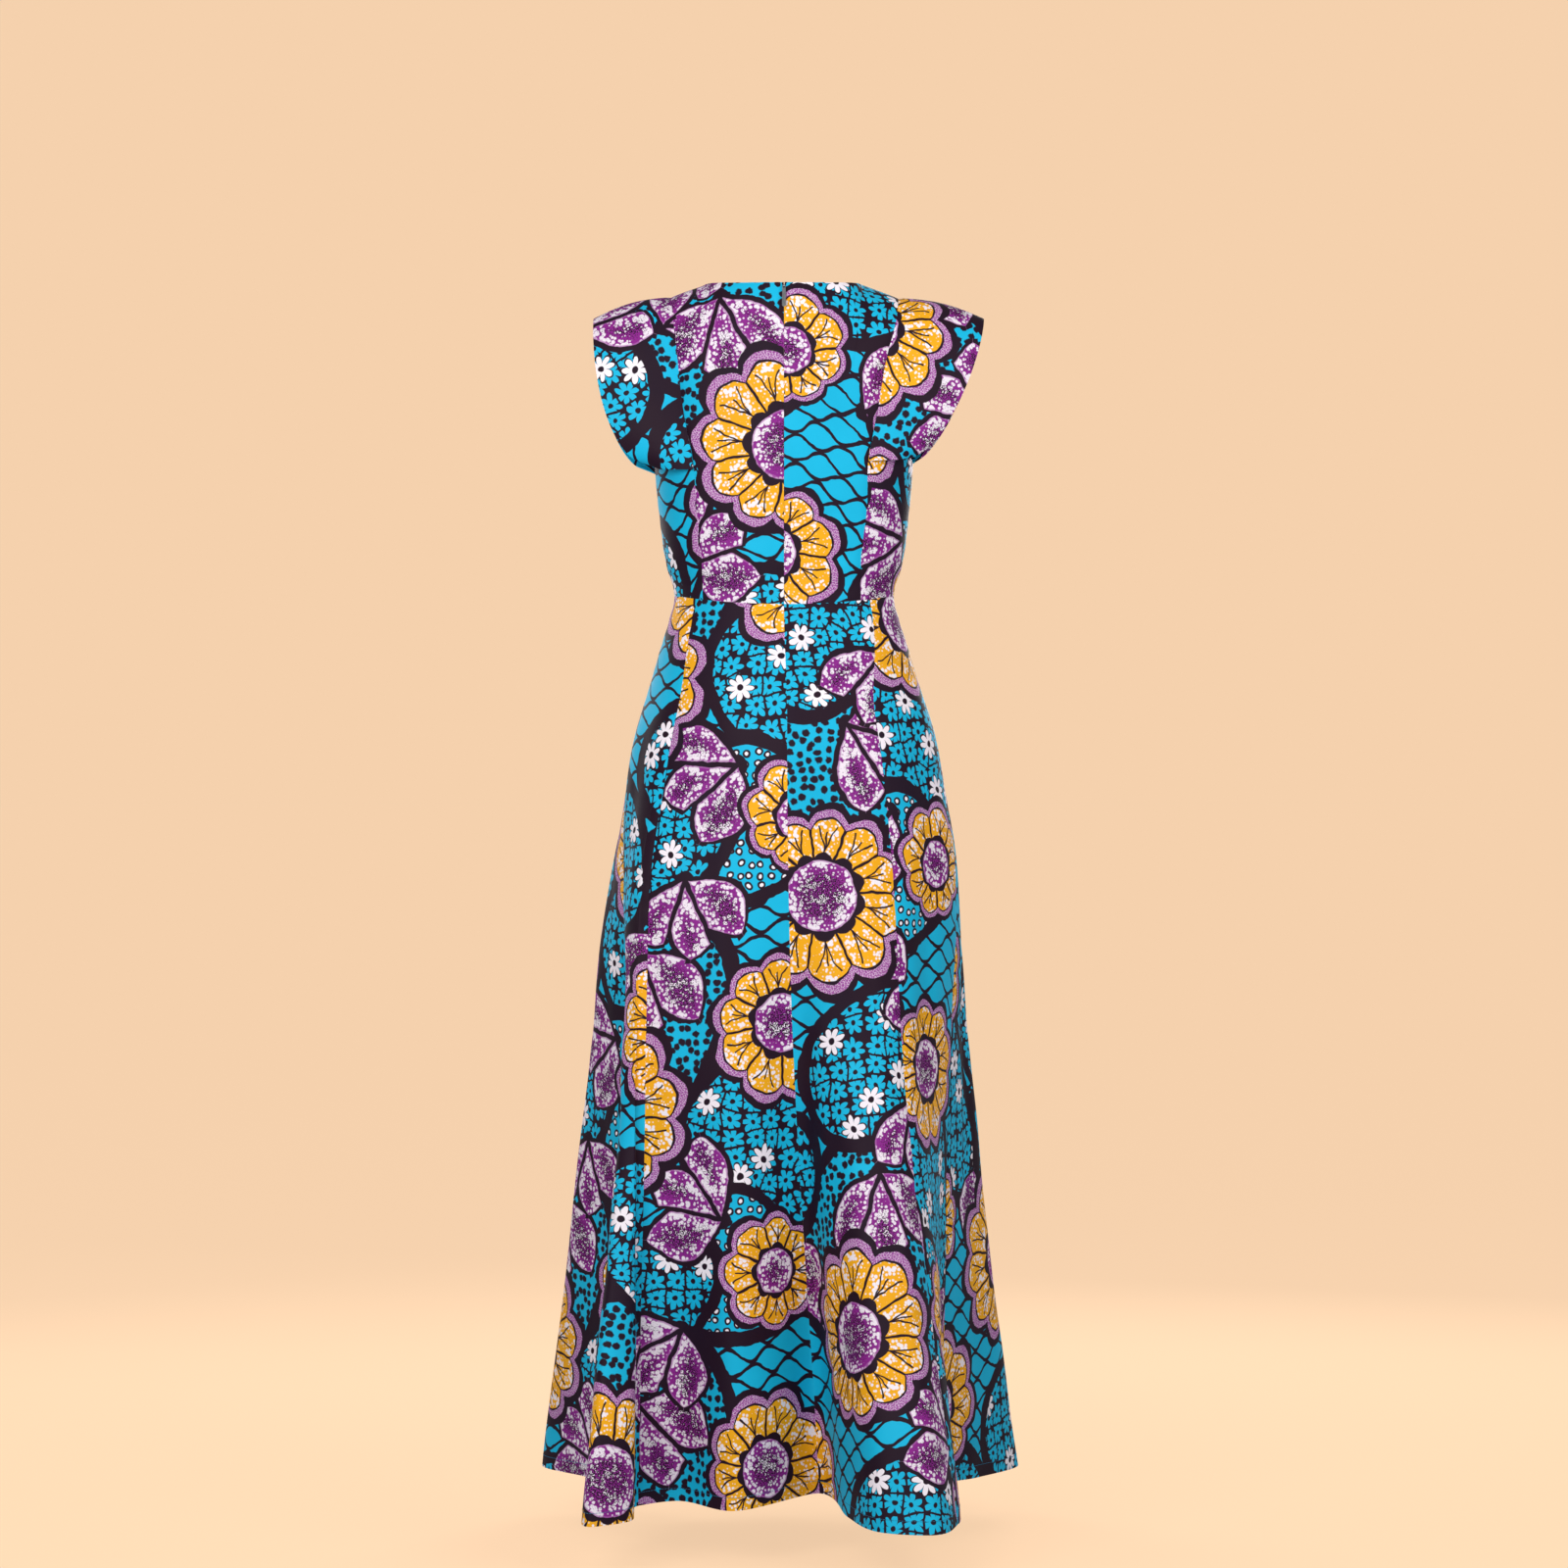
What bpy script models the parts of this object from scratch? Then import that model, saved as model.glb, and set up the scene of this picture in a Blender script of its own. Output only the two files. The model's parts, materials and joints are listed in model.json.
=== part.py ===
"""Ankara wax print dress, in the hollow form that it has when worn.

Metres, +Z up. The wearer faces +Y, so the centre back lies on -Y and the wearer's right
is +X. The origin is midway between the shoulders, where the wearer carries the dress.
The angle round the body is 0 at the centre back, 90 at the wearer's right side, 180 at
the centre front and 270 at the wearer's left side.
"""

import math
from collections import namedtuple

import bmesh
import bpy
import numpy as np
from mathutils import Vector

# ---------------------------------------------------------------- driving dimensions

WALL = 0.0016  # cloth with its seam turnings pressed flat
SEAM_GAP = 0.0003  # between two pieces that are sewn edge to edge
SEAM_STRIP = 0.004  # first lane or row of each panel, so that its edge stands square

WAIST_SIDE_Z = -0.3605
WAIST_DIP_BACK = 0.0118  # the waist seam hangs lower at the centre back
WAIST_DIP_FRONT = 0.004
HEM_Z = -1.418

SHOULDER_Z = 0.006  # shoulder seam at the neck point
SHOULDER_SLOPE = 0.35  # fall for each metre outwards
NECK_HALF = 0.092  # neck point from the centre
NECK_RISE = 0.062  # how far the shoulder line, carried on over the neck opening, would rise
NECK_BACK_Z = 0.002
NECK_FRONT_Z = -0.075
UNDERARM_Z = -0.208

# Sections from the lower armhole to the knee, in metres.
Section = namedtuple("Section", "z half_width back front squareness")
SECTIONS = (
    Section(-0.900, 0.234, 0.150, 0.150, 2.00),
    Section(-0.750, 0.225, 0.148, 0.143, 2.00),
    Section(-0.657, 0.210, 0.144, 0.137, 2.02),
    Section(-0.587, 0.192, 0.137, 0.131, 2.05),
    Section(-0.520, 0.175, 0.127, 0.125, 2.08),
    Section(-0.456, 0.1555, 0.112, 0.116, 2.12),
    Section(-0.420, 0.1445, 0.101, 0.109, 2.15),
    Section(-0.390, 0.1350, 0.093, 0.103, 2.18),
    Section(-0.362, 0.1285, 0.088, 0.100, 2.20),
    Section(-0.320, 0.1390, 0.091, 0.112, 2.22),
    Section(-0.265, 0.1465, 0.096, 0.125, 2.26),
    Section(-0.208, 0.1515, 0.099, 0.122, 2.32),
    Section(-0.150, 0.1535, 0.098, 0.114, 2.38),
    Section(-0.100, 0.1540, 0.094, 0.104, 2.40),
)

# Above its spring line the bodice arches over the shoulder, whose seam lies on y = 0.
# The share is of the way from the waist seam up to CHEST_Z.
CHEST_Z = -0.100
Arch = namedtuple("Arch", "share roundness rows")
BACK_ARCH = Arch(1.00, 2.2, 6)
FRONT_ARCH = Arch(0.66, 1.45, 9)
ARCH_LENGTH = 0.11

# The princess seam, which is the armhole edge further up: distance from the centre.
SeamLevel = namedtuple("SeamLevel", "z left right")
PRINCESS = (
    SeamLevel(-0.372, 0.0945, 0.0900),
    SeamLevel(-0.320, 0.0960, 0.0900),
    SeamLevel(-0.260, 0.1015, 0.0965),
    SeamLevel(-0.200, 0.1065, 0.0985),
    SeamLevel(-0.150, 0.1165, 0.1085),
    SeamLevel(-0.090, 0.1240, 0.1190),
    SeamLevel(-0.046, 0.1290, 0.1305),
    SeamLevel(-0.008, 0.1330, 0.1350),
)
PRINCESS_TRIES = 4  # the seam's height and angle depend on each other
ARMHOLE_SHARE = 0.66  # where the side panels end at the princess seam, and its height
ARMHOLE_Z = -0.190
SIDE_WIDTH = 0.09

# The winged sleeves: reach at the shoulder, low corner and how round the outer edge is.
Wing = namedtuple("Wing", "side sign reach ridge_z low_x low_z root_low_z roundness")
WINGS = (
    Wing("left", -1, 0.2235, -0.034, 0.151, -0.212, -0.216, 2.1),
    Wing("right", +1, 0.2345, -0.034, 0.152, -0.200, -0.206, 1.45),
)
WING_DEPTH_BACK = 0.062
WING_DEPTH_FRONT = 0.066
WING_ARCH = 3.0
WING_CROWN = 0.006  # how far the cap swells between its root and its outer edge
WING_ROOT_GAP = 0.0009
WING_ROOT_LENGTH = 0.42
WING_WIDTH = 0.09

# The skirt seams, by angle at the waist and at the hip.
SkirtSeam = namedtuple("SkirtSeam", "name waist hip fold")
SKIRT_SEAMS = (
    SkirtSeam("centre_back", 0, 1, "back valley"),
    SkirtSeam("back_right", 50, 38, "back right turn"),
    SkirtSeam("side_right", 90, 90, "right side valley"),
    SkirtSeam("front_right", 130, 138, "front right fall"),
    SkirtSeam("front_left", 230, 222, "front left fall"),
    SkirtSeam("side_left", 270, 270, "left side valley"),
    SkirtSeam("back_left", 308, 313, "back left seam valley"),
)

# The skirt's folds in plan, going round from the centre back towards the wearer's right.
# hip is the angle where the fold leaves the smooth hip; lift raises the hem.
Fold = namedtuple("Fold", "name hip knee_x knee_y hem_x hem_y lift")
FOLDS = (
    Fold("back valley", 1, 0.0107, -0.126, 0.042, -0.080, 0.014),
    Fold("back right inner slope", 15, 0.048, -0.148, 0.0745, -0.195, 0.004),
    Fold("back right crest", 25, 0.085, -0.162, 0.116, -0.292, 0.001),
    Fold("back right brow", 32, 0.114, -0.158, 0.168, -0.298, 0.000),
    Fold("back right turn", 38, 0.138, -0.138, 0.198, -0.228, 0.001),
    Fold("right flank", 64, 0.172, -0.070, 0.190, -0.085, 0.005),
    Fold("right side valley", 90, 0.197, 0.000, 0.186, 0.045, 0.006),
    Fold("right front flank", 103, 0.213, 0.055, 0.232, 0.120, 0.002),
    Fold("front right crest", 117, 0.211, 0.115, 0.283, 0.258, 0.000),
    Fold("front right fall", 138, 0.160, 0.165, 0.222, 0.312, 0.000),
    Fold("front right valley", 156, 0.092, 0.170, 0.122, 0.240, 0.007),
    Fold("front centre", 180, 0.000, 0.190, 0.000, 0.292, 0.000),
    Fold("front left valley", 204, -0.092, 0.170, -0.122, 0.238, 0.007),
    Fold("front left fall", 222, -0.160, 0.165, -0.226, 0.306, 0.000),
    Fold("front left crest", 242, -0.230, 0.115, -0.294, 0.244, 0.000),
    Fold("left front flank", 256, -0.208, 0.055, -0.240, 0.140, 0.001),
    Fold("left side valley", 270, -0.172, 0.000, -0.186, 0.045, 0.006),
    Fold("left flank", 289, -0.182, -0.060, -0.222, -0.120, 0.003),
    Fold("left tube", 301, -0.184, -0.110, -0.216, -0.240, 0.000),
    Fold("left tube inside", 307, -0.173, -0.124, -0.179, -0.212, 0.001),
    Fold("back left seam valley", 313, -0.160, -0.122, -0.168, -0.118, 0.005),
    Fold("back left dip", 326, -0.124, -0.134, -0.126, -0.096, 0.007),
    Fold("back left crest", 343, -0.060, -0.154, -0.060, -0.152, 0.004),
)
HIP_SHARE = 0.13  # of the skirt's length: above it the skirt is smooth
KNEE_SHARE = 0.50

# The centre-back zip.
ZIP_END_Z = -0.462
ZIP_TOP_DROP = 0.0015  # below the neck edge
ZIP_NOTCH = (0.016, 0.010)  # below the neck edge, where the edges start to part and stop
TAPE_HALF = 0.012
TAPE_THICK = 0.0010
TAPE_GAP = 0.0003
SLIDER_WIDTH = 0.0064
SLIDER_DEPTH = 0.0024
SLIDER_LENGTH = 0.0090
BRIDGE_WIDTH = 0.0015
BRIDGE_LENGTH = 0.0040
RING_OUTER = 0.0018
RING_INNER = 0.0010
RING_STAND = 0.0002  # clear of the cloth
PULL_LENGTH = 0.0280
PULL_TOP_WIDTH = 0.0040
PULL_LOW_WIDTH = 0.0046
PULL_THICK = 0.0009
PULL_BAR = 0.0009
PULL_WINDOW = 0.0032  # from the bar's middle to the foot of the window
PULL_WINDOW_WIDTH = 0.0021
PULL_LEAN = math.radians(5)  # its tip lies against the cloth

# How many lanes and rows each panel has.
LANE_STEP = 0.028  # along the hem
SKIRT_ROWS = (0.045, 0.09, 0.14, 0.20, 0.26, 0.33, 0.41, 0.50, 0.58, 0.66, 0.74, 0.82, 0.90, 0.97)
BODICE_LOW_ROWS = 7
BODICE_HIGH_ROWS = 3
NECK_LANES = 6
SHOULDER_LANES = 2
SIDE_LANES = 5
WING_LANES = 5
WING_ROWS = 18
WING_EDGE_STEPS = 61
TAPE_LANES = 3
PANEL_LANES_AT_TAPE = 4
PULL_ROUND_STEPS = 9

Finish = namedtuple("Finish", "colour roughness metallic")
PRINTED_COTTON = Finish((0.02, 0.45, 0.80), 0.70, 0.0)
ZIP_TAPE = Finish((0.03, 0.12, 0.30), 0.80, 0.0)
GREY_METAL = Finish((0.45, 0.46, 0.48), 0.35, 1.0)


# ---------------------------------------------------------------- curves

def smooth(knots, values, at):
    """A smooth curve through (knots, values), read at every place in `at`."""
    knots = np.asarray(knots, float)
    values = np.asarray(values, float)
    at = np.asarray(at, float)
    slopes = np.gradient(values, knots)
    cell = np.clip(np.searchsorted(knots, at, side="right") - 1, 0, len(knots) - 2)
    width = knots[cell + 1] - knots[cell]
    s = np.clip((at - knots[cell]) / width, 0, 1)
    rise = values[cell + 1] - values[cell]
    start = slopes[cell] * width
    end = slopes[cell + 1] * width
    bend = s**2 * (3 * rise - 2 * start - end) + s**3 * (start + end - 2 * rise)
    return values[cell] + s * start + bend


def column(table, name):
    return [getattr(row, name) for row in table]


def section(z):
    """half_width, back, front and squareness of the body at height z."""
    names = ("half_width", "back", "front", "squareness")
    return [smooth(column(SECTIONS, "z"), column(SECTIONS, name), z) for name in names]


def on_section(angle, z):
    """x and y of the body at an angle (radians) and a height."""
    half_width, back, front, squareness = section(z)
    sine, cosine = np.sin(angle), np.cos(angle)
    power = 2 / squareness
    x = half_width * np.sign(sine) * np.abs(sine) ** power
    y = -np.where(cosine > 0, back, front) * np.sign(cosine) * np.abs(cosine) ** power
    return x, y


def angle_at(x, z, facing):
    """Angle at which the body has this x, on its back (facing -1) or its front (+1)."""
    half_width, _, _, squareness = section(z)
    share = np.clip(np.abs(x) / half_width, 0, 1) ** (squareness / 2)
    angle = np.arcsin(share) * np.sign(x)
    return angle if facing < 0 else math.pi - angle


def waist_z(angle):
    """Height of the waist seam: it dips at the centre back and a little in front."""
    cosine = np.cos(angle)
    return WAIST_SIDE_Z - np.where(cosine > 0, WAIST_DIP_BACK, WAIST_DIP_FRONT) * cosine**2


def princess_x(z, side):
    return smooth(column(PRINCESS, "z"), column(PRINCESS, side), z)


# ---------------------------------------------------------------- grids and panels

def normals_of(grid):
    """Outward unit normals of a (rows, lanes, 3) grid whose rows rise and lanes go round +."""
    along = np.gradient(grid, axis=1)
    up = np.gradient(grid, axis=0)
    across = np.cross(along, up)
    return across / np.maximum(np.linalg.norm(across, axis=2, keepdims=True), 1e-12)


def moved_out(grid, distance):
    return grid + normals_of(grid) * distance


def drawn_in(grid, low=SEAM_GAP / 2, high=SEAM_GAP / 2, first=SEAM_GAP / 2, last=SEAM_GAP / 2):
    """Pulls the edges of a grid back, so that it stays clear of the panels sewn to it."""
    grid = grid.copy()
    for edge, inner, distance in ((0, 1, low), (-1, -2, high)):
        step = grid[inner] - grid[edge]
        grid[edge] += step / np.linalg.norm(step, axis=1, keepdims=True) * distance
    for edge, inner, distance in ((0, 1, first), (-1, -2, last)):
        step = grid[:, inner] - grid[:, edge]
        distance = np.broadcast_to(distance, len(grid))[:, None]
        grid[:, edge] += step / np.linalg.norm(step, axis=1, keepdims=True) * distance
    return grid


def with_strips(count, length):
    """Even shares of a run of this length, with one more SEAM_STRIP away from each end."""
    strip = SEAM_STRIP / length
    return np.array([0.0, strip, *np.linspace(0, 1, count + 1)[1:-1], 1 - strip, 1.0])


def facing_out(grid):
    """The grid with its lanes turned so that its faces point away from the body's axis."""
    across = normals_of(grid)[..., :2]
    turned = (across * grid[..., :2]).sum() < 0
    return grid[:, ::-1] if turned else grid


def material(name, finish):
    made = bpy.data.materials.new(name)
    made.use_nodes = True
    shader = made.node_tree.nodes["Principled BSDF"]
    shader.inputs["Base Color"].default_value = (*finish.colour, 1)
    shader.inputs["Roughness"].default_value = finish.roughness
    shader.inputs["Metallic"].default_value = finish.metallic
    made.diffuse_color = (*finish.colour, 1)
    return made


def sheet(name, grid, thickness, finish, collection):
    """A wall of cloth on a grid of points, half of its thickness on each side."""
    rows, lanes = grid.shape[:2]
    form = bmesh.new()
    points = [form.verts.new(point) for point in grid.reshape(-1, 3)]
    for row in range(rows - 1):
        for lane in range(lanes - 1):
            corner = row * lanes + lane
            form.faces.new([points[i] for i in (corner, corner + 1, corner + lanes + 1, corner + lanes)])
    mesh = bpy.data.meshes.new(name)
    form.to_mesh(mesh)
    form.free()
    mesh.shade_smooth()
    made = bpy.data.objects.new(name, mesh)
    made.data.materials.append(material(name, finish))
    collection.objects.link(made)
    wall = made.modifiers.new("wall", "SOLIDIFY")
    wall.thickness = thickness
    wall.offset = 0


# ---------------------------------------------------------------- bodice

def height_at(share, angle):
    """Height at a share of the way from the waist seam up to CHEST_Z."""
    low = waist_z(angle)
    return low + share * (CHEST_Z - low)


def princess_angle(share, sign, facing):
    """Angle of the princess seam at a share of the bodice's height."""
    side = "right" if sign > 0 else "left"
    angle = math.pi / 4
    for _ in range(PRINCESS_TRIES):
        z = height_at(share, angle)
        angle = angle_at(sign * princess_x(z, side), z, facing)
    return angle


def low_shares():
    """Rows from the waist seam up to the armhole, which every bodice panel shares."""
    strip = SEAM_STRIP / (CHEST_Z - WAIST_SIDE_Z)
    return [0, strip, *np.linspace(0, ARMHOLE_SHARE, BODICE_LOW_ROWS + 1)[1:]]


def half_lanes():
    """Lanes of a back or front half by x. The neck point has its own."""
    shoulder_x = 0.5 * (PRINCESS[-1].left + PRINCESS[-1].right)
    neck = NECK_HALF / shoulder_x
    strip = SEAM_STRIP / shoulder_x
    over_neck = neck * np.sin(np.linspace(0, math.pi / 2, NECK_LANES + 1)[1:])
    over_shoulder = np.linspace(neck, 1, SHOULDER_LANES + 1)[1:-1]
    return np.array([0, strip, *over_neck, *over_shoulder, 1 - strip, 1])


def ridge_z(x):
    """Height of the shoulder line, which is carried on in a curve over the neck opening."""
    over_neck = NECK_RISE * (1 - (x / NECK_HALF) ** 2)
    over_shoulder = SHOULDER_SLOPE * (NECK_HALF - np.abs(x))
    return SHOULDER_Z + np.where(np.abs(x) < NECK_HALF, over_neck, over_shoulder)


def neckline_z(x, facing):
    share = np.clip(np.abs(x) / NECK_HALF, 0, 1)
    if facing < 0:
        return NECK_BACK_Z + (SHOULDER_Z - NECK_BACK_Z) * share**4
    return NECK_FRONT_Z + (SHOULDER_Z - NECK_FRONT_Z) * (1 - np.sqrt(1 - share**2))


def arch_turns(arch):
    """Shares of the arch for its rows, with rows at the notch for the zip near its end."""
    near_end = [1 - drop / ARCH_LENGTH for drop in (*ZIP_NOTCH, SEAM_STRIP, 0)]
    return [*np.linspace(0, near_end[0], arch.rows)[1:-1], *near_end]


def half_grid(sign, facing):
    """One half of the back (facing -1) or the front (+1), from its centre line outwards."""
    side = "right" if sign > 0 else "left"
    arch = BACK_ARCH if facing < 0 else FRONT_ARCH
    lanes = half_lanes()
    shares = low_shares()
    if arch.share > ARMHOLE_SHARE:
        shares += list(np.linspace(ARMHOLE_SHARE, arch.share, BODICE_HIGH_ROWS + 1)[1:])
    rows = []
    for share in shares:
        edge_angle = princess_angle(share, sign, facing)
        edge_z = height_at(share, edge_angle)
        x = lanes * on_section(edge_angle, edge_z)[0]
        z = height_at(share, angle_at(x, edge_z, facing))
        _, y = on_section(angle_at(x, z, facing), z)
        rows.append(np.stack([x, y, z], axis=1))
    _, spring_y, spring_z = rows[-1].T
    for turn in arch_turns(arch):
        edge_z = spring_z[-1] + (PRINCESS[-1].z - spring_z[-1]) * math.sin(turn * math.pi / 2)
        x = sign * lanes * princess_x(edge_z, side)
        top = np.where(lanes * PRINCESS[-1].right < NECK_HALF, neckline_z(x, facing), ridge_z(x))
        height = ridge_z(x) - spring_z
        reach = np.clip((top - spring_z) / height, 0, 1) ** (arch.roundness / 2)
        angle = np.arcsin(reach) * turn
        z = spring_z + height * np.sin(angle) ** (2 / arch.roundness)
        y = spring_y * np.cos(angle) ** (2 / arch.roundness)
        rows.append(np.stack([x, y, z], axis=1))
    return np.array(rows)


def side_grid(sign, facing):
    """A side panel, from the princess seam to the side seam and up to the armhole."""
    lanes = with_strips(SIDE_LANES, SIDE_WIDTH)
    side_angle = sign * math.pi / 2 if facing < 0 or sign > 0 else 1.5 * math.pi
    scooped = (UNDERARM_Z - WAIST_SIDE_Z) / (ARMHOLE_SHARE * (CHEST_Z - WAIST_SIDE_Z))
    rows = []
    for share in low_shares():
        edge_angle = princess_angle(share, sign, facing)
        angle = edge_angle + (side_angle - edge_angle) * lanes
        z = height_at(share * (1 - (1 - scooped) * lanes**2), angle)
        x, y = on_section(angle, z)
        rows.append(np.stack([x, y, z], axis=1))
    return np.array(rows)


def armhole_curve(sign, low_z):
    """Points and outward normals of the armhole edge, from the back over the shoulder."""
    halves = []
    for facing in (-1, 1):
        grid = half_grid(sign, facing)
        outward = normals_of(grid)[:, -1] * (sign * -facing)
        line = np.concatenate([grid[:, -1], outward], axis=1)
        foot = np.array([np.interp(low_z, line[:, 2], line[:, axis]) for axis in range(6)])
        halves.append(np.concatenate([foot[None], line[line[:, 2] > low_z + SEAM_STRIP]]))
    return np.concatenate([halves[0], halves[1][::-1][1:]])


# ---------------------------------------------------------------- sleeves

def along(curve, shares):
    """Points at even shares of a polyline's length."""
    steps = np.linalg.norm(np.diff(curve[:, :3], axis=0), axis=1)
    travelled = np.concatenate([[0], np.cumsum(steps)]) / steps.sum()
    return np.stack([np.interp(shares, travelled, values) for values in curve.T], axis=1)


def wing_outer(wing, shares):
    """The outer edge of a sleeve: an arch over the shoulder, drawn in towards the underarm."""
    turn = shares * math.pi
    power = 2 / WING_ARCH
    lift = np.clip(np.sin(turn), 0, 1) ** power
    z = wing.low_z + (wing.ridge_z - wing.low_z) * lift
    depth = np.where(turn < math.pi / 2, WING_DEPTH_BACK, WING_DEPTH_FRONT)
    y = -depth * np.sign(np.cos(turn)) * np.abs(np.cos(turn)) ** power
    fall = (wing.ridge_z - z) / (wing.ridge_z - wing.low_z)
    reach = (1 - fall**wing.roundness) ** (1 / wing.roundness)
    x = wing.sign * (wing.low_x + (wing.reach - wing.low_x) * reach)
    return np.stack([x, y, z], axis=1)


def wing_grid(wing):
    """A sleeve from its root in the armhole to its free edge."""
    shares = with_strips(WING_ROWS, WING_ROOT_LENGTH)
    curve = along(armhole_curve(wing.sign, wing.root_low_z), shares)
    root, outward = curve[:, :3], curve[:, 3:]
    over_side_panel = np.clip(root[:, 2] / ARMHOLE_Z, 0, 1)[:, None] ** 3
    root = root + outward * over_side_panel * (WALL + WING_ROOT_GAP)
    root[:, 0] += wing.sign * WING_ROOT_GAP
    outer = along(wing_outer(wing, np.linspace(0, 1, WING_EDGE_STEPS)), shares)
    lanes = with_strips(WING_LANES, WING_WIDTH)
    flat = root[:, None] + (outer - root)[:, None] * lanes[None, :, None]
    if wing.sign > 0:
        flat = flat[:, ::-1]
    grid = flat[::-1] if wing_faces_in(flat) else flat
    crown = WING_CROWN * np.sin(np.linspace(0, math.pi, grid.shape[1]))
    return moved_out(grid, crown[None, :, None])


def wing_faces_in(grid):
    """Whether the faces of a sleeve look down, towards the arm that it covers."""
    top = grid.shape[0] // 2
    return normals_of(grid)[top, :, 2].mean() < 0


# ---------------------------------------------------------------- skirt

def hem_steps():
    """Distances from each fold to the next along the hem."""
    points = np.array([(fold.hem_x, fold.hem_y) for fold in FOLDS])
    return np.linalg.norm(np.roll(points, -1, axis=0) - points, axis=1)


def fold_places():
    """Each fold's place round the hem, as a share of its length from the centre back."""
    steps = hem_steps()
    return np.concatenate([[0], np.cumsum(steps)]) / steps.sum()


def around(values, at, turn=0.0):
    """A smooth closed curve through one value for each fold; turn is what one lap adds."""
    places = fold_places()
    lap = np.asarray(values, float)
    knots = np.concatenate([places[-4:-1] - 1, places, places[1:4] + 1])
    values = np.concatenate([lap[-3:] - turn, lap, lap[:1] + turn, lap[1:4] + turn])
    return smooth(knots, values, at)


def skirt_grid(first, last):
    """The panel between two skirt seams, going round towards +, with rows upwards."""
    places = dict(zip(column(FOLDS, "name"), fold_places()))
    start, end = places[first.fold], places[last.fold]
    waist = [math.radians(first.waist), math.radians(last.waist)]
    if end <= start:
        end += 1
        waist[1] += 2 * math.pi
    length = hem_steps().sum() * (end - start)
    lanes = with_strips(max(4, round(length / LANE_STEP)), length)
    at = start + (end - start) * lanes
    at_waist = waist[0] + (waist[1] - waist[0]) * lanes
    at_hip = np.radians(around(column(FOLDS, "hip"), at, turn=360))
    knee = np.stack([around(column(FOLDS, name), at) for name in ("knee_x", "knee_y")], axis=1)
    hem = np.stack([around(column(FOLDS, name), at) for name in ("hem_x", "hem_y")], axis=1)
    lift = around(column(FOLDS, "lift"), at)
    top = waist_z(at_waist)
    bottom = HEM_Z + lift
    knee_from = knee - np.stack(on_section(at_hip, top + (bottom - top) * KNEE_SHARE), axis=1)
    hem_from = hem - np.stack(on_section(at_hip, np.full_like(at, SECTIONS[0].z)), axis=1)
    strip = SEAM_STRIP / (WAIST_SIDE_Z - HEM_Z)
    rows = []
    for share in (1, 1 - strip, *reversed(SKIRT_ROWS), strip, 0):
        to_hip = min(share / HIP_SHARE, 1)
        to_hip = to_hip * to_hip * (3 - 2 * to_hip)
        angle = at_waist + (at_hip - at_waist) * to_hip
        z = top + (bottom - top) * share
        x, y = on_section(angle, np.maximum(z, SECTIONS[0].z))
        fold = fold_growth(share, knee_from, hem_from)
        rows.append(np.stack([x + fold[:, 0], y + fold[:, 1], z], axis=1))
    return np.array(rows)


def fold_growth(share, knee, hem):
    """How far the folds have moved a lane: none at the hip, `knee` and `hem` lower down."""
    rise = hem / (1 - HIP_SHARE)
    if share <= HIP_SHARE:
        return 0 * knee
    if share <= KNEE_SHARE:
        width = KNEE_SHARE - HIP_SHARE
        s = (share - HIP_SHARE) / width
        return s**2 * (3 * knee - rise * width) + s**3 * (rise * width - 2 * knee)
    width = 1 - KNEE_SHARE
    s = (share - KNEE_SHARE) / width
    gain = hem - knee
    start, end = rise * width, gain
    return knee + s * start + s**2 * (3 * gain - 2 * start - end) + s**3 * (start + end - 2 * gain)


# ---------------------------------------------------------------- zip

def parting(z):
    """Half of the gap along the centre back, which opens near the top for the slider."""
    top = NECK_BACK_Z - ZIP_NOTCH[1]
    opened = np.clip(1 - (top - z) / (ZIP_NOTCH[0] - ZIP_NOTCH[1]), 0, 1)
    return SEAM_GAP / 2 + (BRIDGE_WIDTH + SEAM_GAP) / 2 * opened


def beside_centre(grid, start, width):
    """Lanes of a panel from `start` to `width` away from its centre-back edge, lane 0."""
    rows = []
    for row, near in zip(grid, start):
        steps = np.linalg.norm(np.diff(row, axis=0), axis=1)
        travelled = np.concatenate([[0], np.cumsum(steps)])
        places = np.linspace(near, width, TAPE_LANES)
        rows.append(np.stack([np.interp(places, travelled, row[:, axis]) for axis in range(3)], axis=1))
    return np.array(rows)


def zip_panels(sign):
    """The skirt and bodice grids on one side of the centre back, with lane 0 on it."""
    if sign > 0:
        skirt = skirt_grid(SKIRT_SEAMS[0], SKIRT_SEAMS[1])
    else:
        skirt = skirt_grid(SKIRT_SEAMS[-1], SKIRT_SEAMS[0])[:, ::-1]
    return skirt, half_grid(sign, -1)


def row_at(grid, z):
    """The row of a grid at this height of its lane 0, between the rows beside it."""
    above = int(np.argmax(grid[:, 0, 2] > z))
    low, high = grid[above - 1], grid[above]
    share = (z - low[0, 2]) / (high[0, 2] - low[0, 2])
    return low + (high - low) * share


def zip_tape(sign, collection):
    """One half of the zip's tape, behind the centre-back edges of skirt and bodice."""
    side = "right" if sign > 0 else "left"
    skirt, bodice = (grid[:, :PANEL_LANES_AT_TAPE] for grid in zip_panels(sign))
    top = bodice[-1, 0, 2] - ZIP_TOP_DROP
    foot = row_at(skirt, ZIP_END_Z)[None]
    low = skirt[skirt[:, 0, 2] > ZIP_END_Z + SEAM_STRIP][:-1]
    high = bodice[bodice[:, 0, 2] < top - SEAM_STRIP / 4]
    line = np.concatenate([foot, low, high, row_at(bodice, top)[None]])
    grid = facing_out(beside_centre(line, parting(line[:, 0, 2]), TAPE_HALF))
    grid = moved_out(grid, -(WALL / 2 + TAPE_GAP + TAPE_THICK / 2))
    sheet("zip_tape_" + side, grid, TAPE_THICK, ZIP_TAPE, collection)


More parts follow.
